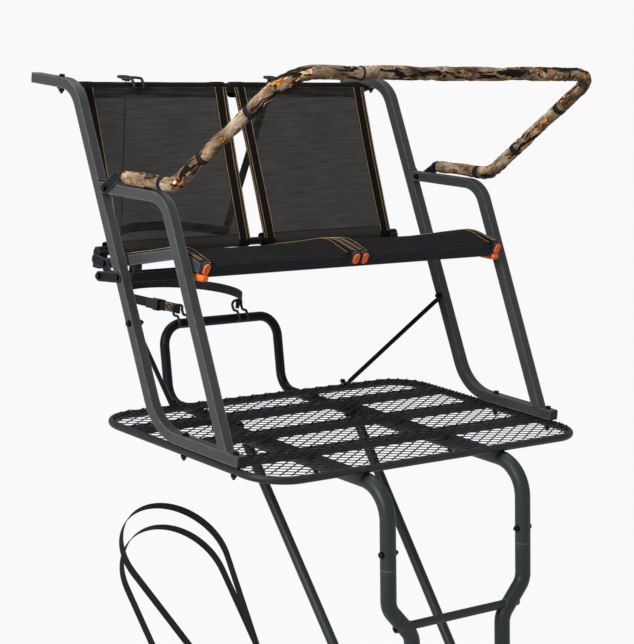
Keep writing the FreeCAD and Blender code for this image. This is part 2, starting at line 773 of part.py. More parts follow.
def ladder_rail(top, bottom):
    """One rail of a ladder section, with a reduced spigot that enters the piece above."""
    drops = [top] + [drop for drop in (size("taper_top"), size("taper_bottom")) if top < drop < bottom]
    points = [ladder_spot(rail_x(drop), drop) for drop in drops + [bottom]]
    outer, wall = size("ladder_tube"), size("ladder_wall")
    if len(points) > 2:
        tube = bent_tube(points, size("taper_bend"), outer, wall)
    else:
        tube = pipe(*points, outer, wall)
    inner = outer - 2 * wall - 2 * GAP
    slope = ladder_slope()
    low = points[0] - slope * size("spigot_step")
    spigot = pipe(low, points[0] + slope * size("spigot_length"), inner, wall)
    collar = annulus(low, slope, inner / 2 - wall, outer / 2 - wall / 2, size("spigot_step"))
    tube = tube.multiFuse([spigot, collar])
    for drop in rung_drops():
        if top < drop < bottom:
            tube = tube.cut(rod(*rung_ends(drop), size("rung_tube") / 2))
    return tube


def foot():
    x = size("ladder_narrow")
    slope = ladder_slope()
    low = ladder_spot(x, deck) - slope * size("foot_height")
    high = ladder_spot(x, deck) + slope * size("foot_height")
    shell = rod(low, high, size("foot_tube") / 2)
    end = ladder_spot(x, deck - size("foot_sole"))
    shell = shell.cut(rod(end, end + slope * size("foot_height"), size("ladder_tube") / 2))
    return shell.cut(beyond(ladder_spot(x, deck), Vector(0, 0, -1)))


# ---------------------------------------------------------------- straps
def trunk_centre(rise):
    return spot(0, size("trunk_back") + run(rise, "trunk_lean"), rise)


def tangent_point(point, centre, radius, along, turn):
    """Where a line from the point meets the circle; turn picks one of the two sides."""
    x_axis = Vector(1, 0, 0)
    offset = point - centre
    flat_x, flat_y = offset.dot(x_axis), offset.dot(along)
    distance = math.hypot(flat_x, flat_y)
    angle = math.atan2(flat_y, flat_x) + turn * math.acos(radius / distance)
    return centre + x_axis * (radius * math.cos(angle)) + along * (radius * math.sin(angle))


def strap_loop(left, right, centre, slope, crossed=False):
    """Webbing from one end round the trunk to the other end."""
    along = Vector(0, math.cos(slope), math.sin(slope))
    normal = Vector(0, -math.sin(slope), math.cos(slope))
    radius = size("trunk") / 2 + size("webbing_thick") / 2
    turn = -1
    if crossed:
        left, right = right, left
    left_touch = tangent_point(left, centre, radius, along, turn)
    right_touch = tangent_point(right, centre, radius, along, -turn)
    wide, thick = size("webbing"), size("webbing_thick")
    tangent = (left_touch - centre).cross(normal)
    wrap = math.degrees((left_touch - centre).getAngle(right_touch - centre))
    if (left_touch - centre).dot(along) < 0 or (right_touch - centre).dot(along) < 0:
        wrap = 360 - wrap
    section = rectangle(left_touch, tangent, normal, wide, thick)
    pieces = [section.revolve(centre, normal * -1, wrap)]
    for start, end in ((left, left_touch), (right, right_touch)):
        way = (end - start).normalize()
        across = (normal - way * normal.dot(way)).normalize()
        pieces.append(bar_between(start, end + way * thick, across, wide, thick))
    return pieces


def hook_rise(radius):
    return radius + GAP + size("hook_wire") / 2


def hook_rod(x, bar, radius):
    """The upright part of a hook, which the webbing's sewn end goes round."""
    return Vector(x, bar.y + size("hook_shank"), bar.z + hook_rise(radius))


def hook(x, bar, radius):
    """A wire hook over a round bar, open at the front."""
    rise = hook_rise(radius)
    corner = hook_rod(x, bar, radius)
    tall = size("webbing") + 2 * size("hook_bend")
    over = corner - Vector(0, size("hook_shank") + rise + size("hook_bend"), 0)
    points = [corner + Vector(0, 0, tall), corner, over, over - Vector(0, 0, 2 * rise)]
    return bent(points, size("hook_bend"), octagon(points[0], size("hook_wire") / 2))


def saddle_hook(x, bar, radius):
    """A wire hook across the top of a round bar, whose straight end carries the webbing's eye."""
    rise = hook_rise(radius)
    rear = Vector(x, bar.y + size("saddle_back"), bar.z + rise)
    over = Vector(x, bar.y - rise - size("hook_bend"), bar.z + rise)
    points = [over - Vector(0, 0, 2 * rise), over, rear]
    return bent(points, size("hook_bend"), octagon(points[0], size("hook_wire") / 2))


def strap_height(bar, radius):
    return bar.z + hook_rise(radius) + size("hook_bend") + size("webbing") / 2


def hooked_strap(ends, centre, eye_axis):
    """A strap round the trunk whose sewn ends go round two hooks' straight wires."""
    pieces = strap_loop(*ends, centre, 0)
    bore = size("hook_wire") / 2 + GAP
    half = eye_axis * (size("webbing") / 2)
    for eye in ends:
        pieces.append(rod(eye - half, eye + half, bore + size("webbing_thick")))
    strap = pieces[0].multiFuse(pieces[1:])
    for eye in ends:
        strap = strap.cut(rod(eye - half * 2, eye + half * 2, bore))
    return strap


def lower_strap():
    """The cam strap, level from the tree brace round the trunk."""
    ends = [hook_rod(x, *brace_bar()) for x in (-size("lower_hook_left"), size("lower_hook_right"))]
    for eye in ends:
        eye.z = strap_height(*brace_bar())
    return hooked_strap(ends, trunk_centre(ends[0].z - deck), Vector(0, 0, 1))


def upper_strap():
    """The strap that drops from the top bar to its level turn round the trunk."""
    bar, radius = top_bar()
    ends = []
    for x in (-size("upper_hook_left"), size("upper_hook_right")):
        ends.append(Vector(x, bar.y + size("saddle_eye"), bar.z + hook_rise(radius)))
    return hooked_strap(ends, trunk_centre(size("wrap_rise")), Vector(0, 1, 0))


def brace_bar():
    """The tree brace's top run, and its radius."""
    return spot(0, size("brace_top_back"), size("brace_rise")), size("brace_tube") / 2


def top_bar():
    """The top crossbar's line, and its radius with the backrest's sleeve on it."""
    return spot(0, size("top_bar_back"), top_bar_rise()), size("top_bar") / 2 + GAP + size("cloth")


def stay_strap(right_drop, left_drop, top, crossed):
    """A strap from both ladder rails up to the trunk and round it."""
    ends = [ladder_spot(-rail_x(left_drop), left_drop), ladder_spot(rail_x(right_drop), right_drop)]
    centre = trunk_centre(-top)
    middle = (ends[0] + ends[1]) / 2
    slope = math.atan2(centre.z - middle.z, centre.y - middle.y)
    pieces = strap_loop(ends[0], ends[1], centre, slope, crossed)
    along = ladder_slope()
    bore = size("ladder_tube") / 2 + GAP
    half = size("webbing") / 2
    for end in ends:
        low = end - along * half
        pieces.append(rod(low, low + along * size("webbing"), bore + size("webbing_thick")))
    strap = pieces[0].multiFuse(pieces[1:])
    for end in ends:
        strap = strap.cut(rod(end - along * (4 * half), end + along * (4 * half), bore))
    return strap


# ---------------------------------------------------------------- cam buckle on the lower strap
def buckle_frame_place():
    """Middle and direction of the strap's left run, where the buckle sits."""
    start = hook_rod(-size("lower_hook_left"), *brace_bar())
    start.z = strap_height(*brace_bar())
    radius = size("trunk") / 2 + size("webbing_thick") / 2
    end = tangent_point(start, trunk_centre(start.z - deck), radius, Vector(0, 1, 0), -1)
    return (start + end) / 2, (end - start).normalize()


def placed(shape):
    middle, way = buckle_frame_place()
    shape.Placement = Placement(middle, Rotation(Vector(1, 0, 0), way))
    return shape


def pin_offset():
    """The cam pin's distance from the webbing's middle."""
    return size("webbing_thick") / 2 + GAP + size("buckle_pin")


def buckle_frame():
    """A folded sheet frame behind the webbing, with two cheeks that hold the cam's pin."""
    sheet_thick = size("buckle_sheet")
    inner_half = size("webbing") / 2 + GAP
    half = size("buckle_length") / 2
    low = size("webbing_thick") / 2 + GAP
    depth = size("buckle_depth")
    outer_half = inner_half + sheet_thick
    rear = -low - sheet_thick
    frame = box_between(Vector(-half, rear, -outer_half), Vector(half, -low, outer_half))
    for sign in (1, -1):
        first, last = sorted((sign * inner_half, sign * outer_half))
        cheek = box_between(Vector(-half / 2, rear, first), Vector(half / 2, depth, last))
        frame = frame.fuse(cheek)
    pin_end = Vector(0, pin_offset(), outer_half)
    pin = rod(pin_end - Vector(0, 0, 2 * outer_half), pin_end, size("buckle_pin") / 2)
    return placed(frame.fuse(pin))


def buckle_lever():
    """The cam on its pin, with a thumb lever."""
    reach = size("webbing") / 2
    bore = size("buckle_pin") / 2 + size("pin_fit")
    axis = Vector(0, pin_offset(), -reach)
    cam = rod(axis, axis + Vector(0, 0, 2 * reach), size("buckle_pin"))
    low = pin_offset() + size("buckle_pin") - size("buckle_sheet")
    far = Vector(size("lever_length"), low + size("buckle_sheet"), reach)
    lever = box_between(Vector(0, low, -reach), far)
    lever = cam.fuse(lever).cut(rod(axis, axis + Vector(0, 0, 2 * reach), bore))
    return placed(lever)


# ---------------------------------------------------------------- the assembly
feature("platform_rim", platform_rim())
add_crossbars()
thickness = size("strand_thickness")
feature("platform_mesh_upper", strand_layer(1, thickness))
feature("platform_mesh_lower", strand_layer(-1, 2 * thickness))
feature_pair("side_frame", seat_tube())
feature_pair("arm", arm_tube())
feature("top_crossbar", top_crossbar())
feature("low_back_bar", low_back_bar())
tube_loop = ("Sizes.frame_tube", "Sizes.frame_tube")
bore_loop = ("Sizes.frame_tube - 2 * Sizes.frame_wall", "Sizes.frame_tube - 2 * Sizes.frame_wall")
rest_length = "Sizes.platform_width - 2 * Sizes.frame_inset - Sizes.frame_tube - 2 * Sizes.plate"
padded_body("seat_rest_bar", [tube_loop, bore_loop], rest_length, rest_bar_centre())
feature("seat_bumpers", bumpers())
feature_pair("hinge_bracket", hinge_bracket())
feature("seat_center_bracket", center_bracket())
feature_pair("backrest", backrest())
add_seat("right", 1)
add_seat("left", -1)
feature("shooting_rail", shooting_rail())
feature("rail_padding", rail_padding())
feature("pad_ties", pad_ties())
feature("tree_brace", tree_brace())
feature_pair("tie_rod", tie_rod())
feature_pair("ladder_strut", strut())
feature_pair("ladder_top", ladder_top())
seams = [size("socket_drop"), size("seam_first"), size("seam_second"), deck - size("foot_sole")]
for label, top, bottom in zip(("upper", "middle", "lower"), seams, seams[1:]):
    feature_pair("ladder_rail_" + label, ladder_rail(top, bottom))
feature("ladder_rungs", rungs())
feature("ladder_feet", Part.makeCompound([foot(), mirrored(foot())]))
feature("lower_strap", lower_strap())
feature("upper_strap", upper_strap())
hooks = [hook(x, *brace_bar()) for x in (-size("lower_hook_left"), size("lower_hook_right"))]
hooks += [saddle_hook(x, *top_bar()) for x in (-size("upper_hook_left"), size("upper_hook_right"))]
feature("strap_hooks", Part.makeCompound(hooks))
stay = size("stay_drop")
feature("stay_strap", stay_strap(stay, stay, size("stay_top"), False))
low_stay = size("crossed_stay_drop")
lower_end = low_stay + size("crossed_stay_step")
feature("crossed_stay_strap", stay_strap(low_stay, lower_end, size("crossed_stay_top"), True))
feature("buckle_frame", buckle_frame())
feature("buckle_lever", buckle_lever())
pivots = [pivot(*outer_pivot_bolt()), pivot(*rail_pivot_bolt())]
pivots += [mirrored(bolt) for bolt in pivots]
feature("pivot_bolts", Part.makeCompound(pivots + [pivot(*inner_pivot_bolt())]))

# ---------------------------------------------------------------- checks and export
doc.recompute()
for item in doc.Objects:
    if "Invalid" in item.State or "Error" in item.State:
        raise RuntimeError("%s did not build: %s" % (item.Label, item.State))
for item in nodes:
    if item.Shape.isNull() or not item.Shape.isValid() or not item.Shape.Solids:
        raise RuntimeError("%s has no valid solid" % item.Label)
for item in nodes:
    item.Shape.exportStep("parts/%s.step" % item.Label)
box = Part.makeCompound([item.Shape for item in nodes]).BoundBox
print("%d nodes, X %.1f to %.1f, Y %.1f to %.1f, Z %.1f to %.1f"
      % (len(nodes), box.XMin, box.XMax, box.YMin, box.YMax, box.ZMin, box.ZMax))
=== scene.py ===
"""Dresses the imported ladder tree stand: fabric, padding, webbing, fasteners, paint and studio."""
import bpy
import bmesh
import json
import math
import random
from mathutils import Matrix, Vector, noise


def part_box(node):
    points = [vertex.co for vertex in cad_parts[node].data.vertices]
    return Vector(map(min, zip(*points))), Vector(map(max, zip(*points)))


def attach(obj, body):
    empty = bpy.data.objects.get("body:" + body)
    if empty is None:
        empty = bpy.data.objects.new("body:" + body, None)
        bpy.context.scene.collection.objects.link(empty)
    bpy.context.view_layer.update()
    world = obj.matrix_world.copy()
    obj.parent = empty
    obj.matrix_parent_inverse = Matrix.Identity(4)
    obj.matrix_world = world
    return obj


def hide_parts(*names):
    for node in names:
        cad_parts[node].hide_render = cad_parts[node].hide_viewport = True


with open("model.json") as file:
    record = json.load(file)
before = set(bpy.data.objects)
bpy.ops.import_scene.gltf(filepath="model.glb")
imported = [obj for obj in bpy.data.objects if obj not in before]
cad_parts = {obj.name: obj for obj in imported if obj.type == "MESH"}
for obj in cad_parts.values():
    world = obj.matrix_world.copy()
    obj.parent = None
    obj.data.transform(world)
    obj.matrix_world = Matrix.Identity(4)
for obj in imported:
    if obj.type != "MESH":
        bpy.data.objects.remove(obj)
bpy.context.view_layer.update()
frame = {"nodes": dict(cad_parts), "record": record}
scene = bpy.context.scene
rng = random.Random(7)

# ------------------------------------------------------------------ places read from the frame
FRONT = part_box("platform_rim")[0].y
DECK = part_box("platform_mesh_upper")[1].z
MM = 0.001
X, Y, Z = Vector((1, 0, 0)), Vector((0, 1, 0)), Vector((0, 0, 1))

# lengths of the CAD part, in millimetres unless a comment says otherwise
DECK_RISE = 3600
LADDER_SLOPE = math.tan(math.radians(6.93))
POST_SLOPE = math.tan(math.radians(27.6))
FRONT_POST = math.radians(27)
POST_X = 515
TUBE = 12.7  # half of the side frames' square tube
HALF_TUBE = 0.0127  # the same, in metres
OVER_PLATE = 0.0167  # half the tube and a plate, in metres
LOW_BAR, TOP_BAR = (745, 394), (902, 776.3)  # how far back and how high
SEAT_KNEE, SEAT_END = (432, 437), (706, 369)  # a seat rail's bend and its rear end
RUNG_PITCH, RUNGS, TOP_RUNG = 330, 10, 372
SIDES = (("right", 1), ("left", -1))


def spot(x, back, rise):
    """A point at x, behind the platform's front edge and above the deck, in millimetres."""
    return Vector((x * MM, FRONT + back * MM, DECK + rise * MM))


def at_line(x, drop):
    """A point on the ladder's centre plane at a drop below the deck, in millimetres."""
    rise = DECK_RISE - drop
    return Vector((x * MM, rise * LADDER_SLOPE * MM, rise * MM))


# ------------------------------------------------------------------ camera
SENSOR = 36.0
FOCAL, PICTURE_HEIGHT = 2069.21, 644  # pixels of the photograph, fitted to it
VIEW_ANGLES = (-41.3, 10.81, 3.82)  # azimuth, elevation and roll in degrees
VIEW_MIDDLE, VIEW_DISTANCE = (-53.84, 416.28, 244.03), 5.14312


def aim_camera():
    """The photograph's camera."""
    cam = bpy.data.cameras.new("camera")
    cam.sensor_fit = "VERTICAL"
    cam.sensor_height = SENSOR
    cam.lens = FOCAL / PICTURE_HEIGHT * SENSOR
    cam.clip_end = 400
    obj = bpy.data.objects.new("camera", cam)
    scene.collection.objects.link(obj)
    azimuth, elevation, roll = map(math.radians, VIEW_ANGLES)
    back = Vector((math.sin(azimuth) * math.cos(elevation),
                   -math.cos(azimuth) * math.cos(elevation), math.sin(elevation)))
    right = (-back).cross(Z).normalized()
    up = right.cross(-back).normalized()
    turned = right * math.cos(roll) + up * math.sin(roll)
    turned_up = up * math.cos(roll) - right * math.sin(roll)
    place = spot(*VIEW_MIDDLE) + back * VIEW_DISTANCE
    basis = Matrix((turned, turned_up, back)).transposed()
    obj.matrix_world = Matrix.Translation(place) @ basis.to_4x4()
    scene.camera = obj


aim_camera()

# ------------------------------------------------------------------ materials
BLACK, WHITE = (0, 0, 0), (1, 1, 1)


def grey(value, tint=WHITE):
    """A colour that is a share of another one."""
    return tuple(value * part for part in tint)


class Nodes:
    """A short way to write a node tree."""

    def __init__(self, name):
        self.mat = bpy.data.materials.new(name)
        self.mat.use_nodes = True
        self.tree = self.mat.node_tree
        self.tree.nodes.clear()
        self.shader = self.make("ShaderNodeBsdfPrincipled")
        out = self.make("ShaderNodeOutputMaterial")
        self.link(self.shader.outputs[0], out.inputs["Surface"])

    def make(self, kind, **values):
        node = self.tree.nodes.new(kind)
        for key, value in values.items():
            setattr(node, key, value)
        return node

    def link(self, start, end):
        self.tree.links.new(start, end)

    def put(self, socket, value):
        if isinstance(value, bpy.types.NodeSocket):
            self.link(value, socket)
        else:
            socket.default_value = value

    def bands(self, vector, scale, warp, **values):
        node = self.make("ShaderNodeTexWave", wave_type="BANDS", **values)
        self.link(vector, node.inputs["Vector"])
        node.inputs["Scale"].default_value = scale
        node.inputs["Distortion"].default_value = warp
        return node

    def uneven(self, vector, scale, amount, base):
        """A roughness that varies with a noise."""
        return self.math("ADD", self.math("MULTIPLY", self.noise(vector, scale), amount), base)

    def coords(self, kind="Object"):
        return self.make("ShaderNodeTexCoord").outputs[kind]

    def stretched(self, source, scale):
        node = self.make("ShaderNodeMapping")
        self.link(source, node.inputs["Vector"])
        node.inputs["Scale"].default_value = scale
        return node.outputs[0]

    def noise(self, vector, scale, detail=3.0, rough=0.55, warp=0.0):
        node = self.make("ShaderNodeTexNoise")
        self.link(vector, node.inputs["Vector"])
        node.inputs["Scale"].default_value = scale
        node.inputs["Detail"].default_value = detail
        node.inputs["Roughness"].default_value = rough
        node.inputs["Distortion"].default_value = warp
        return node.outputs[0]

    def ramp(self, factor, stops, interpolation="LINEAR"):
        node = self.make("ShaderNodeValToRGB")
        node.color_ramp.interpolation = interpolation
        ramp = node.color_ramp.elements
        while len(ramp) < len(stops):
            ramp.new(0.5)
        for element, (place, color) in zip(ramp, stops):
            element.position = place
            element.color = tuple(color) + (1.0,) if len(color) == 3 else color
        self.link(factor, node.inputs[0])
        return node.outputs[0]

    def mix(self, factor, first, second, blend="MIX"):
        node = self.make("ShaderNodeMix", data_type="RGBA", blend_type=blend)
        self.put(node.inputs[0], factor)
        self.put(node.inputs[6], first)
        self.put(node.inputs[7], second)
        return node.outputs[2]

    def math(self, operation, first, second=0.0):
        node = self.make("ShaderNodeMath", operation=operation)
        self.put(node.inputs[0], first)
        self.put(node.inputs[1], second)
        return node.outputs[0]

    def edges(self, radius, patchy):
        """Where the surface turns sharply, broken up by a noise."""
        soft = self.make("ShaderNodeBevel", samples=6)
        soft.inputs["Radius"].default_value = radius
        plain = self.make("ShaderNodeNewGeometry")
        turn = self.make("ShaderNodeVectorMath", operation="DOT_PRODUCT")
        self.link(soft.outputs[0], turn.inputs[0])
        self.link(plain.outputs["Normal"], turn.inputs[1])
        bent = self.math("SUBTRACT", 1.0, turn.outputs["Value"])
        mask = self.ramp(bent, [(0.015, BLACK), (0.11, WHITE)])
        gaps = self.ramp(patchy, [(0.35, grey(0.35)), (0.62, WHITE)])
        return self.math("MULTIPLY", mask, gaps)

    def bump(self, height, strength, distance):
        node = self.make("ShaderNodeBump")
        node.inputs["Strength"].default_value = strength
        node.inputs["Distance"].default_value = distance
        self.link(height, node.inputs["Height"])
        self.link(node.outputs[0], self.shader.inputs["Normal"])

    def set(self, **values):
        names = {"rough": "Roughness", "metal": "Metallic", "color": "Base Color",
                 "specular": "Specular IOR Level", "alpha": "Alpha"}
        for key, value in values.items():
            self.put(self.shader.inputs[names[key]], value)


def powder_coat(name, color, rough=0.42, wear=0.35, specular=0.28, edge_highlights=True):
    """Powder coat: faint orange peel, uneven gloss, dusty scuffs and a painted highlight along its
    edges.
    """
    n = Nodes(name)
    where = n.coords()
    broad = n.noise(where, 4.0, 4.0)
    fine = n.noise(where, 60.0, 5.0)
    tone = n.ramp(broad, [(0.25, grey(0.82, color)), (0.75, grey(1.18, color))])
    scuff = n.ramp(fine, [(0.60, BLACK), (0.74, grey(wear))])
    pale = tuple(min(1.0, part * 1.6 + 0.03) for part in color)
    # a paler colour laid along the edges where the surface turns sharply: a painted highlight
    edge_highlight = tuple(min(1.0, part * 2.0 + 0.075) for part in color)
    coat = n.mix(scuff, tone, pale + (1,))
    n.set(color=n.mix(n.edges(0.0045, fine), coat, edge_highlight + (1,)) if edge_highlights else coat)
    n.set(rough=n.math("ADD", n.math("MULTIPLY", broad, 0.25), rough - 0.1), specular=specular)
    n.bump(n.noise(where, 900.0, 2.0), 0.12, 0.0004)
    return n.mat


def woven(name, color, thread=0.0016, streak=0.5, alpha=1.0, slubs=(6.0, 260.0, 1.0),
          swing=((0.35, 0.72), (0.7, 1.7))):
    """Open-weave sling cloth laid out on its UV map, in metres, with thicker threads across it."""
    n = Nodes(name)
    flat = n.coords("UV")
    waves = []
    for axis in ("X", "Y"):
        node = n.bands(flat, 0.314 / thread, 0.6, bands_direction=axis, wave_profile="SIN")
        node.inputs["Detail"].default_value = 1.0
        waves.append(node.outputs["Fac"])
    weave = n.math("MULTIPLY", waves[0], waves[1])
    slub = n.noise(n.stretched(flat, slubs), 1.0, 4.0, 0.7)
    blotch = n.noise(flat, 9.0, 4.0, 0.6)
    dark = n.mix(n.ramp(blotch, [(0.3, BLACK), (0.7, WHITE)]),
                 grey(0.75, color) + (1,), grey(1.25, color) + (1,))
    light = n.ramp(slub, [(place, grey(share, color)) for place, share in swing])
    cloth = n.mix(streak, dark, light)
    n.set(color=n.mix(n.math("MULTIPLY", weave, 0.45), cloth, grey(2.0, color) + (1,)))
    n.set(rough=0.9, specular=0.05, alpha=alpha)
    n.bump(n.math("ADD", weave, n.math("MULTIPLY", slub, 0.5)), 0.5, 0.0007)
    return n.mat


def webbing(name, color):
    """Ribbed strap webbing."""
    n = Nodes(name)
    where = n.coords()
    ribs = n.bands(where, 90.0, 1.5, bands_direction="Z")
    fuzz = n.noise(where, 300.0, 4.0)
    tone = n.ramp(fuzz, [(0.3, grey(0.7, color)), (0.7, grey(1.6, color))])
    n.set(color=tone, rough=0.75, specular=0.15)
    n.bump(n.math("ADD", ribs.outputs["Fac"], fuzz), 0.4, 0.0006)
    return n.mat


def moulded(name, color, rough=0.4):
    """Moulded plastic with a fine grain and slightly uneven colour."""
    n = Nodes(name)
    where = n.coords()
    tone = n.ramp(n.noise(where, 25.0, 3.0), [(0.3, grey(0.9, color)), (0.7, grey(1.08, color))])
    n.set(color=tone, rough=n.uneven(where, 120.0, 0.2, rough - 0.08), specular=0.35)
    n.bump(n.noise(where, 700.0, 3.0), 0.15, 0.0004)
    return n.mat


def metal(name, color, rough=0.35):
    """Bare or blackened steel, slightly mottled."""
    n = Nodes(name)
    where = n.coords()
    tone = n.ramp(n.noise(where, 80.0, 5.0), [(0.3, grey(0.7, color)), (0.75, grey(1.2, color))])
    n.set(color=tone, metal=1.0, rough=n.uneven(where, 200.0, 0.3, rough - 0.1))
    n.bump(n.noise(where, 600.0, 2.0), 0.1, 0.0003)
    return n.mat


BARK = [(0.30, (0.050, 0.033, 0.021)), (0.41, (0.195, 0.128, 0.078)), (0.50, (0.37, 0.255, 0.165)),
        (0.60, (0.53, 0.39, 0.27)), (0.74, (0.66, 0.54, 0.42))]
LEAVES = [(0.0, (0.015, 0.011, 0.008)), (0.26, (0.30, 0.085, 0.018)), (0.50, (0.62, 0.22, 0.045)),
          (0.68, (0.66, 0.56, 0.40)), (0.78, (0.10, 0.095, 0.045)), (0.90, (0.44, 0.30, 0.12))]


def camouflage(name):
    """A generic woodland camouflage: bark with moss and cracks, bunches of leaves, dark limbs."""
    n = Nodes(name)
    flat = n.coords("UV")
    warp = n.make("ShaderNodeVectorMath", operation="MULTIPLY_ADD")
    cloud = n.make("ShaderNodeTexNoise")
    n.link(flat, cloud.inputs["Vector"])
    cloud.inputs["Scale"].default_value = 30.0
    n.link(cloud.outputs["Color"], warp.inputs[0])
    warp.inputs[1].default_value = (0.030, 0.022, 0.0)
    n.link(flat, warp.inputs[2])
    bent = warp.outputs[0]

    def patches(along, across, detail=3.0, rough=0.55, curl=0.0, source=bent):
        return n.noise(n.stretched(source, (along, across, 1)), 1.0, detail, rough, curl)

    base = n.ramp(patches(17.0, 26.0, 2.5, 0.45), BARK)
    grain = n.ramp(patches(60.0, 300.0, 4.0, 0.65), [(0.32, (0.55, 0.50, 0.46)), (0.62, WHITE)])
    tree = n.mix(0.8, base, grain, "MULTIPLY")
    moss = n.ramp(patches(11.0, 16.0, source=flat), [(0.50, BLACK), (0.62, grey(0.8))])
    tree = n.mix(moss, tree, (0.50, 0.50, 0.33, 1), "MULTIPLY")
    contour = patches(13.0, 24.0, 2.0, 0.5)
    line = n.math("ABSOLUTE", n.math("SUBTRACT", contour, 0.5))
    cracks = n.ramp(line, [(0.002, grey(0.75)), (0.013, BLACK)])
    tree = n.mix(cracks, tree, (0.020, 0.013, 0.009, 1))
    leaves = n.make("ShaderNodeTexVoronoi", feature="F1")
    n.link(n.stretched(bent, (115.0, 175.0, 1)), leaves.inputs["Vector"])
    leaves.inputs["Scale"].default_value = 1.0
    pick = n.make("ShaderNodeSeparateColor")
    n.link(leaves.outputs["Color"], pick.inputs[0])
    leaf = n.ramp(pick.outputs[0], LEAVES, "CONSTANT")
    bunch = n.ramp(patches(15.0, 22.0, 4.0, 0.6), [(0.560, BLACK), (0.575, WHITE)])
    tree = n.mix(bunch, tree, leaf)
    limb = n.ramp(patches(9.0, 46.0, 4.0, 0.55, 0.8), [(0.560, BLACK), (0.580, WHITE)])
    tree = n.mix(limb, tree, (0.010, 0.008, 0.006, 1))
    n.set(color=tree, rough=0.85, specular=0.1)
    folds = patches(95.0, 30.0, 3.0, 0.55, 0.6, flat)
    cloth = n.math("MULTIPLY", n.noise(flat, 700.0, 3.0), 0.12)
    n.bump(n.math("ADD", folds, cloth), 0.75, 0.0035)
    return n.mat


paint = {
    "frame_paint": powder_coat("frame_paint", (0.043, 0.045, 0.0465), 0.42),
    "platform_paint": powder_coat("platform_paint", (0.018, 0.020, 0.0225), 0.46, specular=0.24),
    "mesh_paint": powder_coat("mesh_paint", (0.011, 0.0115, 0.0125), 0.55, 0.1, 0.15, False),
    "ladder_paint": powder_coat("ladder_paint", (0.0225, 0.0275, 0.0285), 0.44),
    "bar_paint": powder_coat("bar_paint", (0.0050, 0.0065, 0.0090), 0.42, 0.05, 0.13),
    "seat_rail_paint": powder_coat("seat_rail_paint", (0.042, 0.047, 0.051), 0.44),
    "cap_plastic": moulded("cap_plastic", (0.92, 0.17, 0.030)),
    "sling_fabric": woven("sling_fabric", (0.0120, 0.0118, 0.0117)),
    "padding_fabric": camouflage("padding_fabric"),
    "elastic": webbing("elastic", (0.010, 0.010, 0.010)),
    "webbing": webbing("webbing", (0.010, 0.010, 0.011)),
    "strap_steel": powder_coat("strap_steel", (0.010, 0.010, 0.011), 0.35, 0.1, 0.28, False),
    "bolt_steel": metal("bolt_steel", (0.022, 0.023, 0.024), 0.42),
    "bumper_rubber": moulded("bumper_rubber", (0.014, 0.014, 0.014), 0.7),
    "foot_plastic": moulded("foot_plastic", (0.014, 0.014, 0.014), 0.65),
    # looks that are no slot of the record
    "back_mesh": woven("back_mesh", (0.028, 0.0250, 0.0225), 0.0016, 0.85, 0.84, (9.0, 170.0, 1.0),
                       ((0.40, 0.40), (0.61, 1.8))),
    "hem_band": woven("hem_band", (0.0085, 0.0075, 0.0065), 0.0022, 0.3),
    "back_sleeve": woven("back_sleeve", (0.040, 0.036, 0.0325)),
    "seam_shadow": moulded("seam_shadow", (0.004, 0.004, 0.004), 0.8),
    "gold_thread": moulded("gold_thread", (0.60, 0.40, 0.19), 0.6),
}

# bars that the photograph shows darker than the rest of their slot
DARKER = dict.fromkeys(("tree_brace", "low_back_bar", "top_crossbar", "left_seat_front_bar",
                        "right_seat_front_bar", "seat_rest_bar"), "bar_paint")
slots = {part["node"]: part["material_slot"] for part in frame["record"]["subparts"]}
for label, node in frame["nodes"].items():
    node.data.materials.clear()
    node.data.materials.append(paint[DARKER.get(label, slots[label])])


# ------------------------------------------------------------------ mesh helpers
def mesh_piece(name, verts, faces, material, body, smooth=True, uvs=None, materials=()):
    mesh = bpy.data.meshes.new(name)
    mesh.from_pydata([tuple(v) for v in verts], [], faces)
    mesh.materials.append(material)
    for extra in materials:
        mesh.materials.append(extra)
    if uvs:
        layer = mesh.uv_layers.new(name="flat")
        by_corner = len(uvs) == len(mesh.loops)
        for loop in mesh.loops:
            layer.data[loop.index].uv = uvs[loop.index if by_corner else loop.vertex_index]
    for face in mesh.polygons:
        face.use_smooth = smooth
    obj = bpy.data.objects.new(name, mesh)
    scene.collection.objects.link(obj)
    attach(obj, body)
    return obj


def lengths(line):
    """The distance run at each point of a line."""
    run = [0.0]
    for a, b in zip(line, line[1:]):
        run.append(run[-1] + (b - a).length)
    return run


def ring_faces(base, levels, count):
    """The quads between rings of points that start at a vertex number."""
    faces = []
    for level in range(levels):
        for j in range(count):
            a, b = base + level * count + j, base + level * count + (j + 1) % count
            faces.append((a, b, b + count, a + count))
    return faces


def nearest(values, goal):
    """The number of the value that is closest to a goal."""
    return min(range(len(values)), key=lambda k: abs(values[k] - goal))


def apply(obj):
    """The object's modifiers, made part of its mesh."""
    bpy.context.view_layer.update()
    final = obj.evaluated_get(bpy.context.evaluated_depsgraph_get())
    made = bpy.data.meshes.new_from_object(final)
    obj.modifiers.clear()
    old = obj.data
    obj.data = made
    bpy.data.meshes.remove(old)


def soften(obj):
    """One level of subdivision, applied together with the modifiers before it."""
    sub = obj.modifiers.new("sub", "SUBSURF")
    sub.levels = sub.render_levels = 1
    apply(obj)


def bevelled(obj, width, limit=None):
    mod = obj.modifiers.new("bevel", "BEVEL")
    mod.width = width
    mod.segments = 2
    mod.limit_method = "ANGLE"
    if limit:
        mod.angle_limit = limit
    apply(obj)


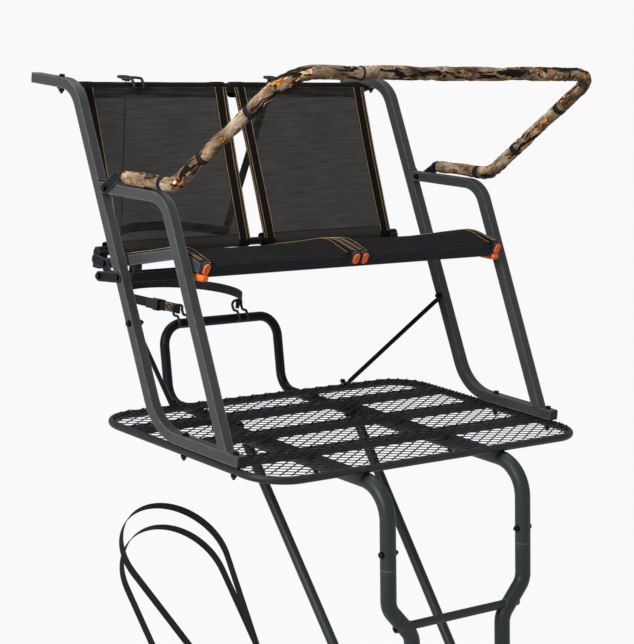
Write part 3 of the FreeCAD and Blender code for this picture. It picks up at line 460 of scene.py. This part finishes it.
def rounded(points, radii, step=0.006):
    """Points along straight runs joined by tangent arcs."""
    if not isinstance(radii, (list, tuple)):
        radii = [radii] * (len(points) - 2)
    line = [points[0].copy()]

    def go(end):
        start = line[-1]
        count = max(1, round((end - start).length / step))
        for k in range(1, count + 1):
            line.append(start.lerp(end, k / count))

    for before, corner, after, radius in zip(points, points[1:], points[2:], radii):
        a, b = (corner - before).normalized(), (after - corner).normalized()
        turn = a.angle(b)
        setback = radius * math.tan(turn / 2)
        go(corner - a * setback)
        centre = corner + (b - a).normalized() * (radius / math.cos(turn / 2))
        axis = a.cross(b).normalized()
        arm = line[-1] - centre
        count = max(3, math.ceil(radius * turn / step))
        for k in range(1, count + 1):
            line.append(centre + Matrix.Rotation(turn * k / count, 3, axis) @ arm)
    go(points[-1])
    return line


def frames(line, start_up):
    """A tangent, side and up direction at every point, carried along without twist."""
    up = start_up.copy()
    made = []
    for k, point in enumerate(line):
        ahead = (line[min(k + 1, len(line) - 1)] - line[max(k - 1, 0)]).normalized()
        up = (up - ahead * up.dot(ahead)).normalized()
        made.append((ahead, ahead.cross(up).normalized(), up))
    return made


def outward_faces(obj):
    bm = bmesh.new()
    bm.from_mesh(obj.data)
    bmesh.ops.recalc_face_normals(bm, faces=bm.faces)
    bm.to_mesh(obj.data)
    bm.free()


def tube(name, line, girth, material, body, sides=16, start_up=Vector((0.3, 0.2, 1))):
    """A closed round tube along a line; girth(angle, run) gives its radius."""
    verts, uvs = [], []
    run = lengths(line)
    for point, along, (ahead, side, up) in zip(line, run, frames(line, start_up)):
        for j in range(sides):
            angle = 2 * math.pi * j / sides
            out = side * math.cos(angle) + up * math.sin(angle)
            verts.append(point + out * girth(angle, along))
    width = 2 * math.pi * girth(0, run[-1] / 2) / sides
    faces = ring_faces(0, len(line) - 1, sides)
    for k in range(len(line) - 1):
        for j in range(sides):
            for level, place in ((k, j), (k, j + 1), (k + 1, j + 1), (k + 1, j)):
                uvs.append((run[level], place * width))
    for end in (0, len(line) - 1):
        hub = len(verts)
        verts.append(line[end])
        for j in range(sides):
            faces.append((hub, end * sides + j, end * sides + (j + 1) % sides))
            rim = run[end] + 0.02
            uvs += [(run[end], 0), (rim, j * width), (rim, (j + 1) * width)]
    obj = mesh_piece(name, verts, faces, material, body, uvs=uvs)
    outward_faces(obj)
    return obj


def solid_pieces(name, parts, material, body, bevel=0.0):
    """Several convex prisms, each a list of rings of points, in one mesh."""
    verts, faces = [], []
    for rings in parts:
        base = len(verts)
        count = len(rings[0])
        for ring in rings:
            verts += ring
        faces += ring_faces(base, len(rings) - 1, count)
        faces.append(tuple(range(base + count - 1, base - 1, -1)))
        top = base + (len(rings) - 1) * count
        faces.append(tuple(range(top, top + count)))
    obj = mesh_piece(name, verts, faces, material, body, smooth=False)
    outward_faces(obj)
    if bevel:
        bevelled(obj, bevel)
    return obj


def circle(centre, axis, radius, count):
    axis = axis.normalized()
    side = axis.orthogonal().normalized()
    other = axis.cross(side)
    points = []
    for k in range(count):
        angle = 2 * math.pi * k / count
        points.append(centre + (side * math.cos(angle) + other * math.sin(angle)) * radius)
    return points


# ------------------------------------------------------------------ fasteners
BOLT_FLATS = 13.0
WASHER = 0.0014


def hex_bolt(seat, outward, nut=False):
    """Rings of a washer and a domed hex head, or a nut with its thread end, on a surface."""
    out = outward.normalized()
    at = seat + out * WASHER
    disc = BOLT_FLATS * 0.62 * MM
    across = BOLT_FLATS / math.sqrt(3) * MM
    tall = BOLT_FLATS * 0.42 * MM
    parts = [[circle(seat, out, disc, 20), circle(at, out, disc, 20)],
             [circle(at, out, across, 6), circle(at + out * (tall * 0.82), out, across, 6),
              circle(at + out * tall, out, across * 0.86, 6)]]
    if nut:
        thread = BOLT_FLATS * 0.29 * MM
        parts.append([circle(at + out * far, out, radius, 12) for far, radius in
                      ((0, thread), (tall + 0.004, thread), (tall + 0.0048, thread * 0.8))])
    return parts


def back_post(rise, sign):
    return spot(sign * POST_X, 430 + (rise - TUBE) * POST_SLOPE, rise)


def bolt_all():
    """Bolts of the side frames, the brackets, the brace, the struts and the ladder's joints."""
    parts = []
    for sign in (1, -1):
        out = X * sign
        half = out * HALF_TUBE
        for back in (138, 326):
            parts += hex_bolt(spot(sign * POST_X, back, 25.4), Z)
            parts += hex_bolt(spot(sign * 517.5, back, -22), -Z, nut=True)
        parts += hex_bolt(back_post(352, sign) + out * OVER_PLATE, out)
        hinge = spot(sign * POST_X, 683, 343)
        parts += hex_bolt(hinge + out * OVER_PLATE, out)
        parts += hex_bolt(hinge - out * OVER_PLATE, -out, nut=True)
        parts += hex_bolt(spot(sign * POST_X, 902, 803.7), Z)
        parts += hex_bolt(spot(sign * POST_X, 902, 774.3), -Z, nut=True)
        parts += hex_bolt(back_post(250, sign) + half, out)
        parts += hex_bolt(back_post(250, sign) - half - out * 0.004, -out, nut=True)
        parts += hex_bolt(spot(sign * 285, 680.5, 4), Z)
        parts += hex_bolt(spot(sign * 191, 680.5, -47.4), -Z)
        parts += hex_bolt(spot(sign * 191, 545, -51.4), -Z)
        for back in (191, 368):
            parts += hex_bolt(spot(sign * 223, back, -60), -Z)
        for drop, x in ((194, 223), (1159, 150), (2149, 150), (820, 150)):
            centre = at_line(sign * x, drop)
            reach = 0.019 + (0.004 if drop == 820 else 0)  # over a strut's tab at 820
            parts += hex_bolt(centre + out * reach, out)
            parts += hex_bolt(centre - out * 0.019, -out, nut=True)
    solid_pieces("fasteners", parts, paint["bolt_steel"], "stand")


bolt_all()

# ------------------------------------------------------------------ sling cloth
SEAT_HEM = 0.033
BACK_HEM = 0.040
HEM_RISE = 0.0012
HEM, SLEEVE = 1, 2  # numbers of the cloths that hems can name
ARC_STEPS, PANEL_STEPS = 10, 28


def cloth_sheet(name, line, span, out, body, replaced, sag, look, hem, thickness=0.0022, columns=40,
                pull=0.0, hems=None):
    """A sheet laid along a line in the YZ plane and hemmed along both edges.

    hems gives the cloth of whole rows by its number. The result is the sheet's grid of points.
    """
    low_x, high_x = span
    verts, uvs, faces, bands = [], [], [], []
    normals = [up for ahead, across, up in frames(line, Z)]
    if normals[len(line) // 2].dot(out) < 0:
        normals = [-up for up in normals]
    run = lengths(line)
    total = run[-1]
    width = high_x - low_x
    cuts = [width * j / columns for j in range(columns + 1)]
    for edge in (hem, width - hem):
        cuts[nearest(cuts, edge)] = edge
    seed = 3.1 if body[0] == "l" else 8.7
    for k, point in enumerate(line):
        up = normals[k]
        for d in cuts:
            u, v = d / width, run[k] / total
            edge = min(d, width - d)
            lift = HEM_RISE if edge <= hem + 1e-6 else 0.0
            draw = pull * math.sin(math.pi * v) * (1 - 2 * u)
            wave = 0.0009 * noise.noise(Vector((d * 14, run[k] * 22, seed)))
            flat = Vector((low_x + d + draw, point.y, point.z))
            verts.append(flat + up * (lift + wave) + sag(u, v, d, width))
            uvs.append((d, run[k]))
    ring = len(cuts)
    for k in range(len(line) - 1):
        for j in range(ring - 1):
            a = k * ring + j
            faces.append((a, a + ring, a + 1 + ring, a + 1))
            at_side = cuts[j + 1] <= hem + 1e-6 or cuts[j] >= width - hem - 1e-6
            bands.append(HEM if at_side else (hems or {}).get(k, 0))
    extra = [paint["hem_band"], paint["back_sleeve"]] if hems else [paint["hem_band"]]
    obj = mesh_piece(name, verts, faces, paint[look], body, uvs=uvs,
                     materials=extra)
    for face, band in zip(obj.data.polygons, bands):
        face.material_index = band
    if obj.data.polygons[len(faces) // 2].normal.dot(out) < 0:
        obj.data.flip_normals()
    mod = obj.modifiers.new("thick", "SOLIDIFY")
    mod.thickness = thickness
    mod.offset = -1
    soften(obj)
    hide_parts(replaced)
    return {"verts": verts, "ring": ring, "cuts": cuts, "run": run, "width": width, "out": out}


STITCH_PITCH, STITCH_LENGTH, STITCH_THICK, STITCH_LIFT = 0.0068, 0.0050, 0.0013, 0.0004


def stitches(name, surface, rows, body):
    """Rows of stitches along a sheet, at distances from both its edges."""
    parts = []
    verts, ring, cuts, run = (surface[key] for key in ("verts", "ring", "cuts", "run"))

    def on(d, s):
        k = max(i for i in range(len(run)) if run[i] <= s + 1e-9)
        k = min(k, len(run) - 2)
        j = max(i for i in range(len(cuts)) if cuts[i] <= d + 1e-9)
        j = min(j, len(cuts) - 2)
        fs = (s - run[k]) / (run[k + 1] - run[k])
        fd = (d - cuts[j]) / (cuts[j + 1] - cuts[j])
        a, b = verts[k * ring + j], verts[k * ring + j + 1]
        c, e = verts[(k + 1) * ring + j], verts[(k + 1) * ring + j + 1]
        point = a.lerp(b, fd).lerp(c.lerp(e, fd), fs)
        up = (b - a).cross(c - a).normalized()
        return point, (up if up.dot(surface["out"]) > 0 else -up)

    for offset in rows + [surface["width"] - row for row in rows]:
        s = 0.004
        while s + STITCH_LENGTH < run[-1] - 0.002:
            first, up = on(offset, s)
            last = on(offset, s + STITCH_LENGTH)[0]
            middle = (first + last) / 2 + up * STITCH_LIFT
            along = (last - first).normalized()
            side = along.cross(up).normalized() * (STITCH_THICK / 2)
            rise = up * (STITCH_THICK * 0.45)
            rings = []
            for share, fat in ((-0.5, 0.45), (-0.3, 1.0), (0.3, 1.0), (0.5, 0.45)):
                at = middle + along * (STITCH_LENGTH * share)
                rings.append([at + side * fat, at + rise * fat,
                              at - side * fat, at - rise * fat * 0.5])
            parts.append(rings)
            s += STITCH_PITCH
    solid_pieces(name, parts, paint["gold_thread"], body)


def rail_top(points, distance, radius):
    """The seat rail's line moved off its upper side."""
    a = (points[1] - points[0]).normalized()
    b = (points[2] - points[1]).normalized()
    first, last = [v if v.z > 0 else -v for v in (Vector((0, -a.z, a.y)), Vector((0, -b.z, b.y)))]
    corner = (first + last).normalized() * (distance / math.cos(first.angle(last) / 2))
    offset = [points[0] + first * distance, points[1] + corner, points[2] + last * distance]
    return rounded(offset, radius + distance, 0.008)


def smooth(share):
    """A share between 0 and 1 that starts and ends level."""
    share = min(1.0, max(0.0, share))
    return share * share * (3 - 2 * share)


def dress_seat(name, sign):
    """The sling over a seat's rails, with its dip, its bowed front edge and its stitching."""
    body = name + "_seat"
    slope = (SEAT_KNEE[1] - SEAT_END[1]) / (SEAT_KNEE[0] - SEAT_END[0])
    rear = spot(0, 689, SEAT_END[1] + slope * (689 - SEAT_END[0]))
    line = rail_top([rear, spot(0, *SEAT_KNEE), spot(0, 340.5, 416.6)], 0.0151, 0.110)
    low, high = sorted((sign * 0.0028, sign * 0.4902))

    def sag(u, v, d, width):
        across = max(0.0, 1 - ((u - 0.5) / 0.44) ** 2)
        along = math.sin(math.pi * min(1.0, max(0.0, (v - 0.22) / 0.60)))
        beside = smooth((min(d, width - d) - 0.0255) / 0.010)
        drop = 0.0058 * smooth((v - 0.80) / 0.16) * beside
        return -Z * (0.017 * across ** 0.8 * max(0.0, along) ** 1.2 + drop)

    surface = cloth_sheet(name + "_sling_cloth", line, (low, high), Z, body,
                          name + "_seat_sling", sag, "sling_fabric", SEAT_HEM)
    stitches(name + "_seat_stitching", surface, [0.0045, 0.0120, 0.0305], body)


def dress_backrest(name, sign):
    """The backrest's cloth with a sleeve round each bar, and its stitching between the sleeves."""
    low_bar, high_bar = spot(0, *LOW_BAR), spot(0, *TOP_BAR)
    slope = (high_bar - low_bar).normalized()
    rear = Vector((0, slope.z, -slope.y))
    front = -rear
    low_r, high_r = 0.0100 + 0.0024, 0.0127 + 0.0024
    line = []

    def arc(centre, radius, start, end):
        for k in range(ARC_STEPS + 1):
            angle = start + (end - start) * k / ARC_STEPS
            line.append(centre + (front * math.cos(angle) + slope * math.sin(angle)) * radius)

    tail = 0.010
    line.append(low_bar + rear * (low_r * 0.4) + slope * (low_r + tail))
    line.append(low_bar + rear * low_r * 0.8 + slope * low_r * 0.8)
    arc(low_bar, low_r, -math.pi, 0.0)
    for k in range(1, PANEL_STEPS):
        line.append((low_bar + front * low_r).lerp(high_bar + front * high_r, k / PANEL_STEPS))
    arc(high_bar, high_r, 0.0, math.pi)
    line.append(high_bar + rear * high_r * 0.8 - slope * high_r * 0.8)
    line.append(high_bar + rear * (high_r * 0.4) - slope * (high_r + tail))
    low, high = sorted((sign * 0.0145, sign * 0.4740))

    def sag(u, v, d, width):
        reach = max(0.0, math.sin(math.pi * v)) ** 3
        dish = max(0.0, 1 - ((u - 0.5) / 0.5) ** 2)
        taper = X * (sign * 0.007 * (2 * v - 1) * (1 - (u if sign > 0 else 1 - u)))
        return rear * (0.006 * reach * dish) - taper

    start = 2 + ARC_STEPS + 1  # the panel's first row, after the tail and the low bar's sleeve
    end = start + PANEL_STEPS - 1
    hems = dict.fromkeys(range(start), SLEEVE) | dict.fromkeys(range(end, len(line)), HEM)
    surface = cloth_sheet(name + "_back_cloth", line, (low, high), front, "stand",
                          name + "_backrest", sag, "back_mesh", BACK_HEM, thickness=0.0018,
                          columns=36, pull=0.004, hems=hems)
    first, last, ring = start - 1, end + 2, surface["ring"]
    base = surface["run"][first]
    surface["verts"] = surface["verts"][first * ring:last * ring]
    surface["run"] = [value - base for value in surface["run"][first:last]]
    stitches(name + "_back_stitching", surface, [0.0040, 0.0120, 0.0375], "stand")


for name, sign in SIDES:
    dress_seat(name, sign)
    dress_backrest(name, sign)


# ------------------------------------------------------------------ end caps of the seat rails
def oval(centre, across, up, wide, tall, count=28):
    """Points of an oval with round ends."""
    points = []
    run = (tall - wide) / 2
    for k in range(count):
        angle = 2 * math.pi * k / count
        shift = run if math.sin(angle) >= 0 else -run
        points.append(centre + across * (math.cos(angle) * wide / 2)
                      + up * (math.sin(angle) * wide / 2 + shift))
    return points


# depth outwards and how much narrower than the oval, in metres
CAP_PROFILE = ((-0.0045, 0), (-0.001, 0), (0, 0.0012), (0.0005, 0.0028), (0.0005, 0.0055),
               (-0.0016, 0.0072), (-0.0016, 0.0125), (-0.0004, 0.0138))
BASE_PROFILE = ((-0.014, 0.001), (-0.0045, 0), (-0.0032, 0.0016))
# how far back, how high, half the height and how much slimmer, in millimetres
LEG_PROFILE = ((-10, 394.4, 5.0, 3), (-6, 393.4, 8.0, 0.6), (36, 392.8, 8.4, 0),
               (43, 392.8, 7.6, 0.6), (47, 392.8, 4.5, 3))
CAP_SIZE, BASE_SIZE = (0.0180, 0.0290), (0.0232, 0.0345)


def cap_leg(x):
    """The leg of a cap that runs back under the rail."""
    rings = []
    for back, rise, half, slim in LEG_PROFILE:
        centre = spot(x, 342 + back, rise)
        ring = []
        for k in range(20):
            angle = 2 * math.pi * (k + 0.5) / 20
            flat, high = (math.copysign(abs(value) ** 0.5, value)
                          for value in (math.cos(angle), math.sin(angle)))
            ring.append(centre + X * ((11 - slim) * MM * flat) + Z * (half * MM * high))
        rings.append(ring)
    return rings


def caps(name, sign):
    """Orange end caps, each on a dark base; only the outer one's leg is seen."""
    parts, bases = [], []
    turn = Matrix.Rotation(math.radians(22), 3, "X")
    out, tall_axis = turn @ -Y, turn @ Z
    for x, legged in ((478, True), (14.2, False)):
        at = spot(sign * x, 329, 414.5)
        for made, profile, (wide, tall) in ((parts, CAP_PROFILE, CAP_SIZE),
                                            (bases, BASE_PROFILE, BASE_SIZE)):
            made.append([oval(at + out * depth, X, tall_axis, wide - less, tall - less)
                         for depth, less in profile])
        if legged:
            parts.append(cap_leg(sign * x))
    body = name + "_seat"
    obj = solid_pieces(name + "_end_caps", parts, paint["cap_plastic"], body)
    bevelled(obj, 0.0005, math.radians(35))
    for face in obj.data.polygons:
        face.use_smooth = True
    obj.data.set_sharp_from_angle(angle=math.radians(40))
    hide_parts(name + "_seat_caps")
    solid_pieces(name + "_cap_bases", bases, paint["foot_plastic"], body, 0.0004)


for name, sign in SIDES:
    caps(name, sign)

# ------------------------------------------------------------------ padding on the shooting rail
ARM_FRONT = (166 + (566 - TUBE) * math.tan(FRONT_POST), 566.0)
ARM_REAR = (430 + (557 - TUBE) * POST_SLOPE, 557.0)


def arm_rise(back):
    """How high the arm's middle is at a place, in millimetres."""
    share = (ARM_REAR[1] - ARM_FRONT[1]) * (back - ARM_FRONT[0])
    return ARM_FRONT[1] + share / (ARM_REAR[0] - ARM_FRONT[0])


def rail_points():
    """The padding's middle line: heel, elbow and front corner of each side."""
    lift = TUBE + 0.3 + 1.5 + 18
    right = [spot(518, back, arm_rise(back) + lift) for back in (612, 419)] + [spot(493, 60, 894)]
    return right + [Vector((-p.x, p.y, p.z)) for p in reversed(right)]


# places along the padding, in metres
PAD_TIES = (0.150, 0.312, 0.505)
FRONT_TIES = (0.735, 1.408)
PAD_CORE, PAD_REST, PAD_SKIN = 0.0142, 0.0164, 0.0183  # radii: least, usual, and the CAD's
pad_line = rounded(rail_points(), 0.080, 0.005)
pad_run = lengths(pad_line)
TIES = list(PAD_TIES) + list(FRONT_TIES) + [pad_run[-1] - place for place in PAD_TIES]


def from_tie(along):
    return min(abs(along - place) for place in TIES)


CLOTH_FRAMES = 18


def billow(obj, line, sides):
    """Lets the sleeve buckle into folds between its ties, held within the padding's depth."""
    pins = obj.vertex_groups.new(name="held")
    for k, along in enumerate(pad_run):
        if min(from_tie(along), along, pad_run[-1] - along) < 0.0075:
            pins.add(list(range(k * sides, (k + 1) * sides)), 1.0, "REPLACE")
    pins.add([len(line) * sides, len(line) * sides + 1], 1.0, "REPLACE")
    mod = obj.modifiers.new("cloth", "CLOTH")
    cloth = mod.settings
    cloth.vertex_group_mass = pins.name
    cloth.quality = 6
    cloth.mass = 0.25
    cloth.tension_stiffness = cloth.compression_stiffness = cloth.shear_stiffness = 25
    cloth.bending_stiffness = 0.25
    cloth.shrink_min = -0.022
    cloth.use_pressure = True
    cloth.uniform_pressure_force = 2.5
    cloth.effector_weights.gravity = 0.0
    mod.collision_settings.use_collision = False
    for number in range(1, CLOTH_FRAMES + 1):
        scene.frame_set(number)
    apply(obj)
    scene.frame_set(1)
    for vert in obj.data.vertices:
        k = vert.index // sides
        if k >= len(line):
            continue
        arm = vert.co - line[k]
        ahead = (line[min(k + 1, len(line) - 1)] - line[max(k - 1, 0)]).normalized()
        drift = ahead * max(-0.004, min(0.004, arm.dot(ahead)))
        arm = arm - ahead * arm.dot(ahead)
        near = from_tie(pad_run[k])
        limit = PAD_SKIN if near > 0.014 else 0.0158 + 0.0025 * (near / 0.014) ** 2
        vert.co = line[k] + drift + arm.normalized() * max(PAD_CORE, min(limit, arm.length))


def padding():
    """The rail's sleeve, gathered at its ties and creased at the rail's corners."""
    total = pad_run[-1]
    sides = 40
    corners = []
    for corner in rail_points()[1:-1]:
        near = min(range(len(pad_line)), key=lambda k: (pad_line[k] - corner).length)
        corners.append(pad_run[near])

    def girth(angle, along):
        c, s = math.cos(angle), math.sin(angle)
        end = min(along, total - along)
        gather = sum(math.exp(-((along - place) / 0.055) ** 2) for place in corners)
        slant = 1.4 * math.cos(angle + along * 9) + 2.5 * noise.noise(Vector((along * 30, c, 7.7)))
        folds = 0.0015 * gather * math.sin(2 * math.pi * along / 0.024 + slant)
        pull = sum(math.exp(-((along - place) / 0.010) ** 2) for place in TIES)
        crease = noise.noise(Vector((along * 24, c * 1.3, s * 1.3)))
        fine = noise.noise(Vector((along * 70, c * 3.0, s * 3.0 + 4)))
        puff = PAD_REST - 0.0020 * pull + 0.0004 * crease + 0.0003 * fine + folds
        if end < 0.006:
            puff *= 0.80 + 0.20 * (end / 0.006)
        return min(puff, PAD_SKIN)

    obj = tube("rail_sleeve", pad_line, girth, paint["padding_fabric"], "rail",
               sides, Z)
    billow(obj, pad_line, sides)
    soften(obj)
    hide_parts("rail_padding")


padding()


def bands():
    """Elastic bands that gather the padding; the two at the front are thin."""
    verts, faces = [], []
    dirs = frames(pad_line, Z)
    count = 28
    for place in TIES:
        k = nearest(pad_run, place)
        centre, (ahead, side, up) = pad_line[k], dirs[k]
        half = 0.0022 if place in FRONT_TIES else 0.0080
        profile = ((-half, 0.0148), (-half * 0.94, 0.0166), (0, 0.0170), (half * 0.94, 0.0166),
                   (half, 0.0148))
        faces += ring_faces(len(verts), len(profile) - 1, count)
        for along, reach in profile:
            for j in range(count):
                angle = 2 * math.pi * j / count
                out = reach + 0.0004 * math.sin(3 * angle + place * 40)
                way = side * math.cos(angle) + up * math.sin(angle)
                verts.append(centre + ahead * along + way * out)
    obj = mesh_piece("padding_bands", verts, faces, paint["elastic"], "rail")
    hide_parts("pad_ties")


bands()


# ------------------------------------------------------------------ plugs, welds and seams
def square_ring(centre, across, up, half, corner):
    """A square with rounded corners."""
    points = []
    for k in range(4):
        way = math.radians(45 + 90 * k)
        aside = math.copysign(half - corner, math.cos(way))
        above = math.copysign(half - corner, math.sin(way))
        for j in range(4):
            angle = way + math.radians(-45 + 30 * j)
            points.append(centre + across * (aside + corner * math.cos(angle))
                          + up * (above + corner * math.sin(angle)))
    return points


# depth outwards in metres, then half the width and the corner's radius in millimetres
PLUG_PROFILE = ((-0.004, 10.9, 2), (0.0, 10.9, 2), (0.0, 12.4, 3), (0.0016, 12.4, 3),
                (0.0026, 11.2, 3.5), (0.0029, 8.5, 3.5))


def plug(end, outward):
    """A domed plastic plug in the end of a square tube."""
    out = outward.normalized()
    up = X.cross(out).normalized()
    return [square_ring(end + out * depth, X, up, half * MM, corner * MM)
            for depth, half, corner in PLUG_PROFILE]


def plugs():
    """Plugs in the open ends of the side frames' tubes and of the seats' rails."""
    plastic, slot = paint["foot_plastic"], "foot_plastic"
    parts = []
    for sign in (1, -1):
        parts.append(plug(spot(sign * POST_X, 117, TUBE), -Y))
        parts.append(plug(spot(sign * POST_X, 1018, 791), Y))
    solid_pieces("tube_plugs", parts, plastic, "stand")
    slope = Vector((0, SEAT_END[0] - SEAT_KNEE[0], SEAT_END[1] - SEAT_KNEE[1])).normalized()
    for name, sign in SIDES:
        parts = [plug(spot(sign * x, *SEAT_END) + slope * 0.013, slope) for x in (478, 15)]
        solid_pieces(name + "_seat_plugs", parts, plastic, name + "_seat")


plugs()

WELD_WIDTH, WELD_STEP, RIPPLE = 0.0021, 0.0024, 0.0034
RIPPLE_PROFILE = ((-0.5, 0.45), (-0.2, 0.95), (0.2, 1.0), (0.55, 0.55))


def bead(loops):
    """Weld beads: overlapping ripples laid along closed or open lines of points."""
    parts = []
    for points in loops:
        for a, b in zip(points, points[1:]):
            count = max(1, round((b - a).length / WELD_STEP))
            way = (b - a).normalized()
            for k in range(count):
                at = a.lerp(b, (k + 0.5) / count)
                fat = WELD_WIDTH * rng.uniform(0.85, 1.1)
                parts.append([circle(at + way * (share * RIPPLE), way, fat * size, 7)
                              for share, size in RIPPLE_PROFILE])
    return parts


def welds():
    """Beads round the posts' joints, the rungs' ends and the crossbars' ends."""
    loops = []
    half = TUBE * MM
    square = ((1, 1), (-1, 1), (-1, -1), (1, -1), (1, 1))
    rake = Vector((0, POST_SLOPE, 1)).normalized()
    face = Vector((0, -rake.z, rake.y))
    for sign in (1, -1):
        post = back_post(557, sign) + face * half
        loops.append([post + X * a * half + rake * b * half for a, b in square])
        foot = spot(sign * POST_X, 166 + TUBE * math.tan(FRONT_POST), 25.4)
        wide = half / math.cos(FRONT_POST)
        loops.append([foot + X * a * half + Y * b * wide for a, b in square])
    for number in range(RUNGS):
        drop = TOP_RUNG + RUNG_PITCH * number
        x = 150 + 73 * max(0, (398 - drop) / 76)  # the ladder spreads above a drop of 398
        for sign in (1, -1):
            loop = circle(at_line(sign * x, drop) - X * sign * 0.0178, X, 0.0110, 20)
            loops.append(loop + loop[:1])
    for back in (191, 368, 545):
        for sign in (1, -1):
            end = spot(sign * (527 - 18.4), back, -12.5)
            loops.append([end + Y * a * 0.0125 + Z * b * 0.0085 for a, b in ((-1, -1), (1, -1))])
    solid_pieces("weld_beads", bead(loops), paint["platform_paint"], "stand")


welds()


def seams():
    """The dark line where one ladder section enters the next."""
    profile = ((-0.0036, 0.0178), (-0.0032, 0.0184), (0.0032, 0.0184), (0.0036, 0.0178))
    verts, faces = [], []
    slope = (at_line(0, 0) - at_line(0, 1000)).normalized()
    count = 32
    for x, drop in ((223, 232), (150, 1197), (150, 2187)):
        for sign in (1, -1):
            centre = at_line(sign * x, drop) - slope * 0.004
            faces += ring_faces(len(verts), len(profile) - 1, count)
            for along, reach in profile:
                verts += circle(centre + slope * along, slope, reach, count)
    obj = mesh_piece("seam_lines", verts, faces, paint["seam_shadow"], "stand")
    outward_faces(obj)


seams()


# ------------------------------------------------------------------ strap hooks
def hook_wires():
    """Coated wire hooks, each one wire bent into two arms that go over a bar."""
    wire, over = 0.0036, X * 0.015
    # each arm's points, back and up from the bar's middle, from the strap's eye to the tip
    low = spot(0, 868, 161), ((10, 47), (12, 34), (4, 22), (-11, 23), (-21, 8), (-19, -4))
    high = spot(0, *TOP_BAR), ((52, 24), (36, 23), (8, 25), (-12, 25), (-24, 10), (-22, -2))
    hooks = ((-137, *low), (62, *low), (-298, *high), (182, *high))
    for number, (x, bar, arm) in enumerate(hooks, start=1):
        at = bar + X * x * MM
        side = [at + Vector((0, back, rise)) * MM for back, rise in arm]
        points = [p + over for p in reversed(side)] + [p - over for p in side]
        bends = [0.006] * (len(arm) - 2)
        line = rounded(points, bends + [0.008, 0.008] + bends, 0.002)
        length = sum((b - a).length for a, b in zip(line, line[1:]))
        piece = tube("hook_wire_%d" % number, line,
                     lambda angle, along: wire * min(1.0, 0.55 + 180 * min(along, length - along)),
                     paint["strap_steel"], "stand", 14)
        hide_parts("strap_hooks")


hook_wires()


def strap_stitching():
    """A sewn box with a cross where the lower strap's end is folded back beside the buckle."""
    corner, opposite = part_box("buckle_frame")
    middle = (corner + opposite) / 2
    way = spot(-137, 878, 0) - middle
    way = Vector((way.x, way.y, 0)).normalized()
    out = Vector((-abs(way.y), way.x * math.copysign(1, way.y), 0))
    strap = frame["nodes"]["lower_strap"]
    at = strap.ray_cast(middle + way * 0.040 + out * 0.06, -out)[1] + out * 0.0005
    long, tall = way * 0.011, Z * 0.0092
    corners = [at + long * a + tall * b for a, b in ((-1, -1), (1, -1), (1, 1), (-1, 1))]
    runs = list(zip(corners, corners[1:] + corners[:1]))
    runs += [(corners[0], corners[2]), (corners[1], corners[3])]
    parts = []
    for start, end in runs:
        along = (end - start).normalized()
        side = along.cross(out) * 0.0007
        rise = out * 0.0006
        count = round((end - start).length / 0.0042)
        for k in range(count):
            centre = start.lerp(end, (k + 0.5) / count)
            rings = []
            for share, fat in ((-0.0016, 0.5), (-0.0008, 1), (0.0008, 1), (0.0016, 0.5)):
                here = centre + along * share
                rings.append([here + side * fat, here + rise * fat,
                              here - side * fat, here - rise * fat])
            parts.append(rings)
    solid_pieces("strap_stitching", parts, paint["gold_thread"], "stand")


strap_stitching()


# ------------------------------------------------------------------ studio
def studio():
    """A wide floor and a sky that the camera sees as white, and three lamps."""
    floor = bpy.data.meshes.new("floor")
    reach = 150
    corners = [(-reach, -reach, 0), (reach, -reach, 0), (reach, reach, 0), (-reach, reach, 0)]
    floor.from_pydata(corners, [], [(0, 1, 2, 3)])
    obj = bpy.data.objects.new("floor", floor)
    scene.collection.objects.link(obj)
    n = Nodes("floor")
    seen = n.make("ShaderNodeLightPath")
    glow = n.make("ShaderNodeEmission")
    glow.inputs["Color"].default_value = (1.0, 1.0, 1.0, 1)
    glow.inputs["Strength"].default_value = 1.0
    grain = n.noise(n.coords(), 0.8, 3.0)
    n.set(color=n.ramp(grain, [(0.3, grey(0.70)), (0.7, grey(0.74))]), rough=0.9)
    blend = n.make("ShaderNodeMixShader")
    out = next(node for node in n.tree.nodes if node.type == "OUTPUT_MATERIAL")
    direct = n.math("MAXIMUM", seen.outputs["Is Camera Ray"], seen.outputs["Is Glossy Ray"])
    n.link(n.math("MULTIPLY", direct, 0.93), blend.inputs[0])
    n.link(n.shader.outputs[0], blend.inputs[1])
    n.link(glow.outputs[0], blend.inputs[2])
    n.link(blend.outputs[0], out.inputs["Surface"])
    floor.materials.append(n.mat)

    world = bpy.data.worlds.new("studio")
    scene.world = world
    world.use_nodes = True
    tree = world.node_tree
    tree.nodes.clear()
    path = tree.nodes.new("ShaderNodeLightPath")
    mix = tree.nodes.new("ShaderNodeMixShader")
    tree.links.new(path.outputs["Is Camera Ray"], mix.inputs[0])
    # what lights the part, then what the camera sees
    for number, color, strength in ((1, (0.93, 0.96, 1.0, 1), 0.40), (2, (1.0, 1.0, 1.0, 1), 1.0)):
        node = tree.nodes.new("ShaderNodeBackground")
        node.inputs["Color"].default_value = color
        node.inputs["Strength"].default_value = strength
        tree.links.new(node.outputs[0], mix.inputs[number])
    out = tree.nodes.new("ShaderNodeOutputWorld")
    tree.links.new(mix.outputs[0], out.inputs["Surface"])

    def lamp(name, place, target, power, size):
        data = bpy.data.lights.new(name, "AREA")
        data.energy = power
        data.shape = "DISK"
        data.size = size
        obj = bpy.data.objects.new(name, data)
        scene.collection.objects.link(obj)
        obj.location = place
        obj.rotation_euler = (target - place).to_track_quat("-Z", "Y").to_euler()

    middle = spot(0, 400, 300)
    lamp("key", middle + Vector((-3.6, -0.5, 1.7)), middle - X * 0.3, 150, 1.8)
    lamp("fill", middle + Vector((2.0, -4.6, 1.4)), middle, 26, 3.4)
    lamp("top", middle + Vector((0.5, 1.6, 4.2)), middle, 90, 3.0)


studio()
scene.view_settings.view_transform = "Standard"
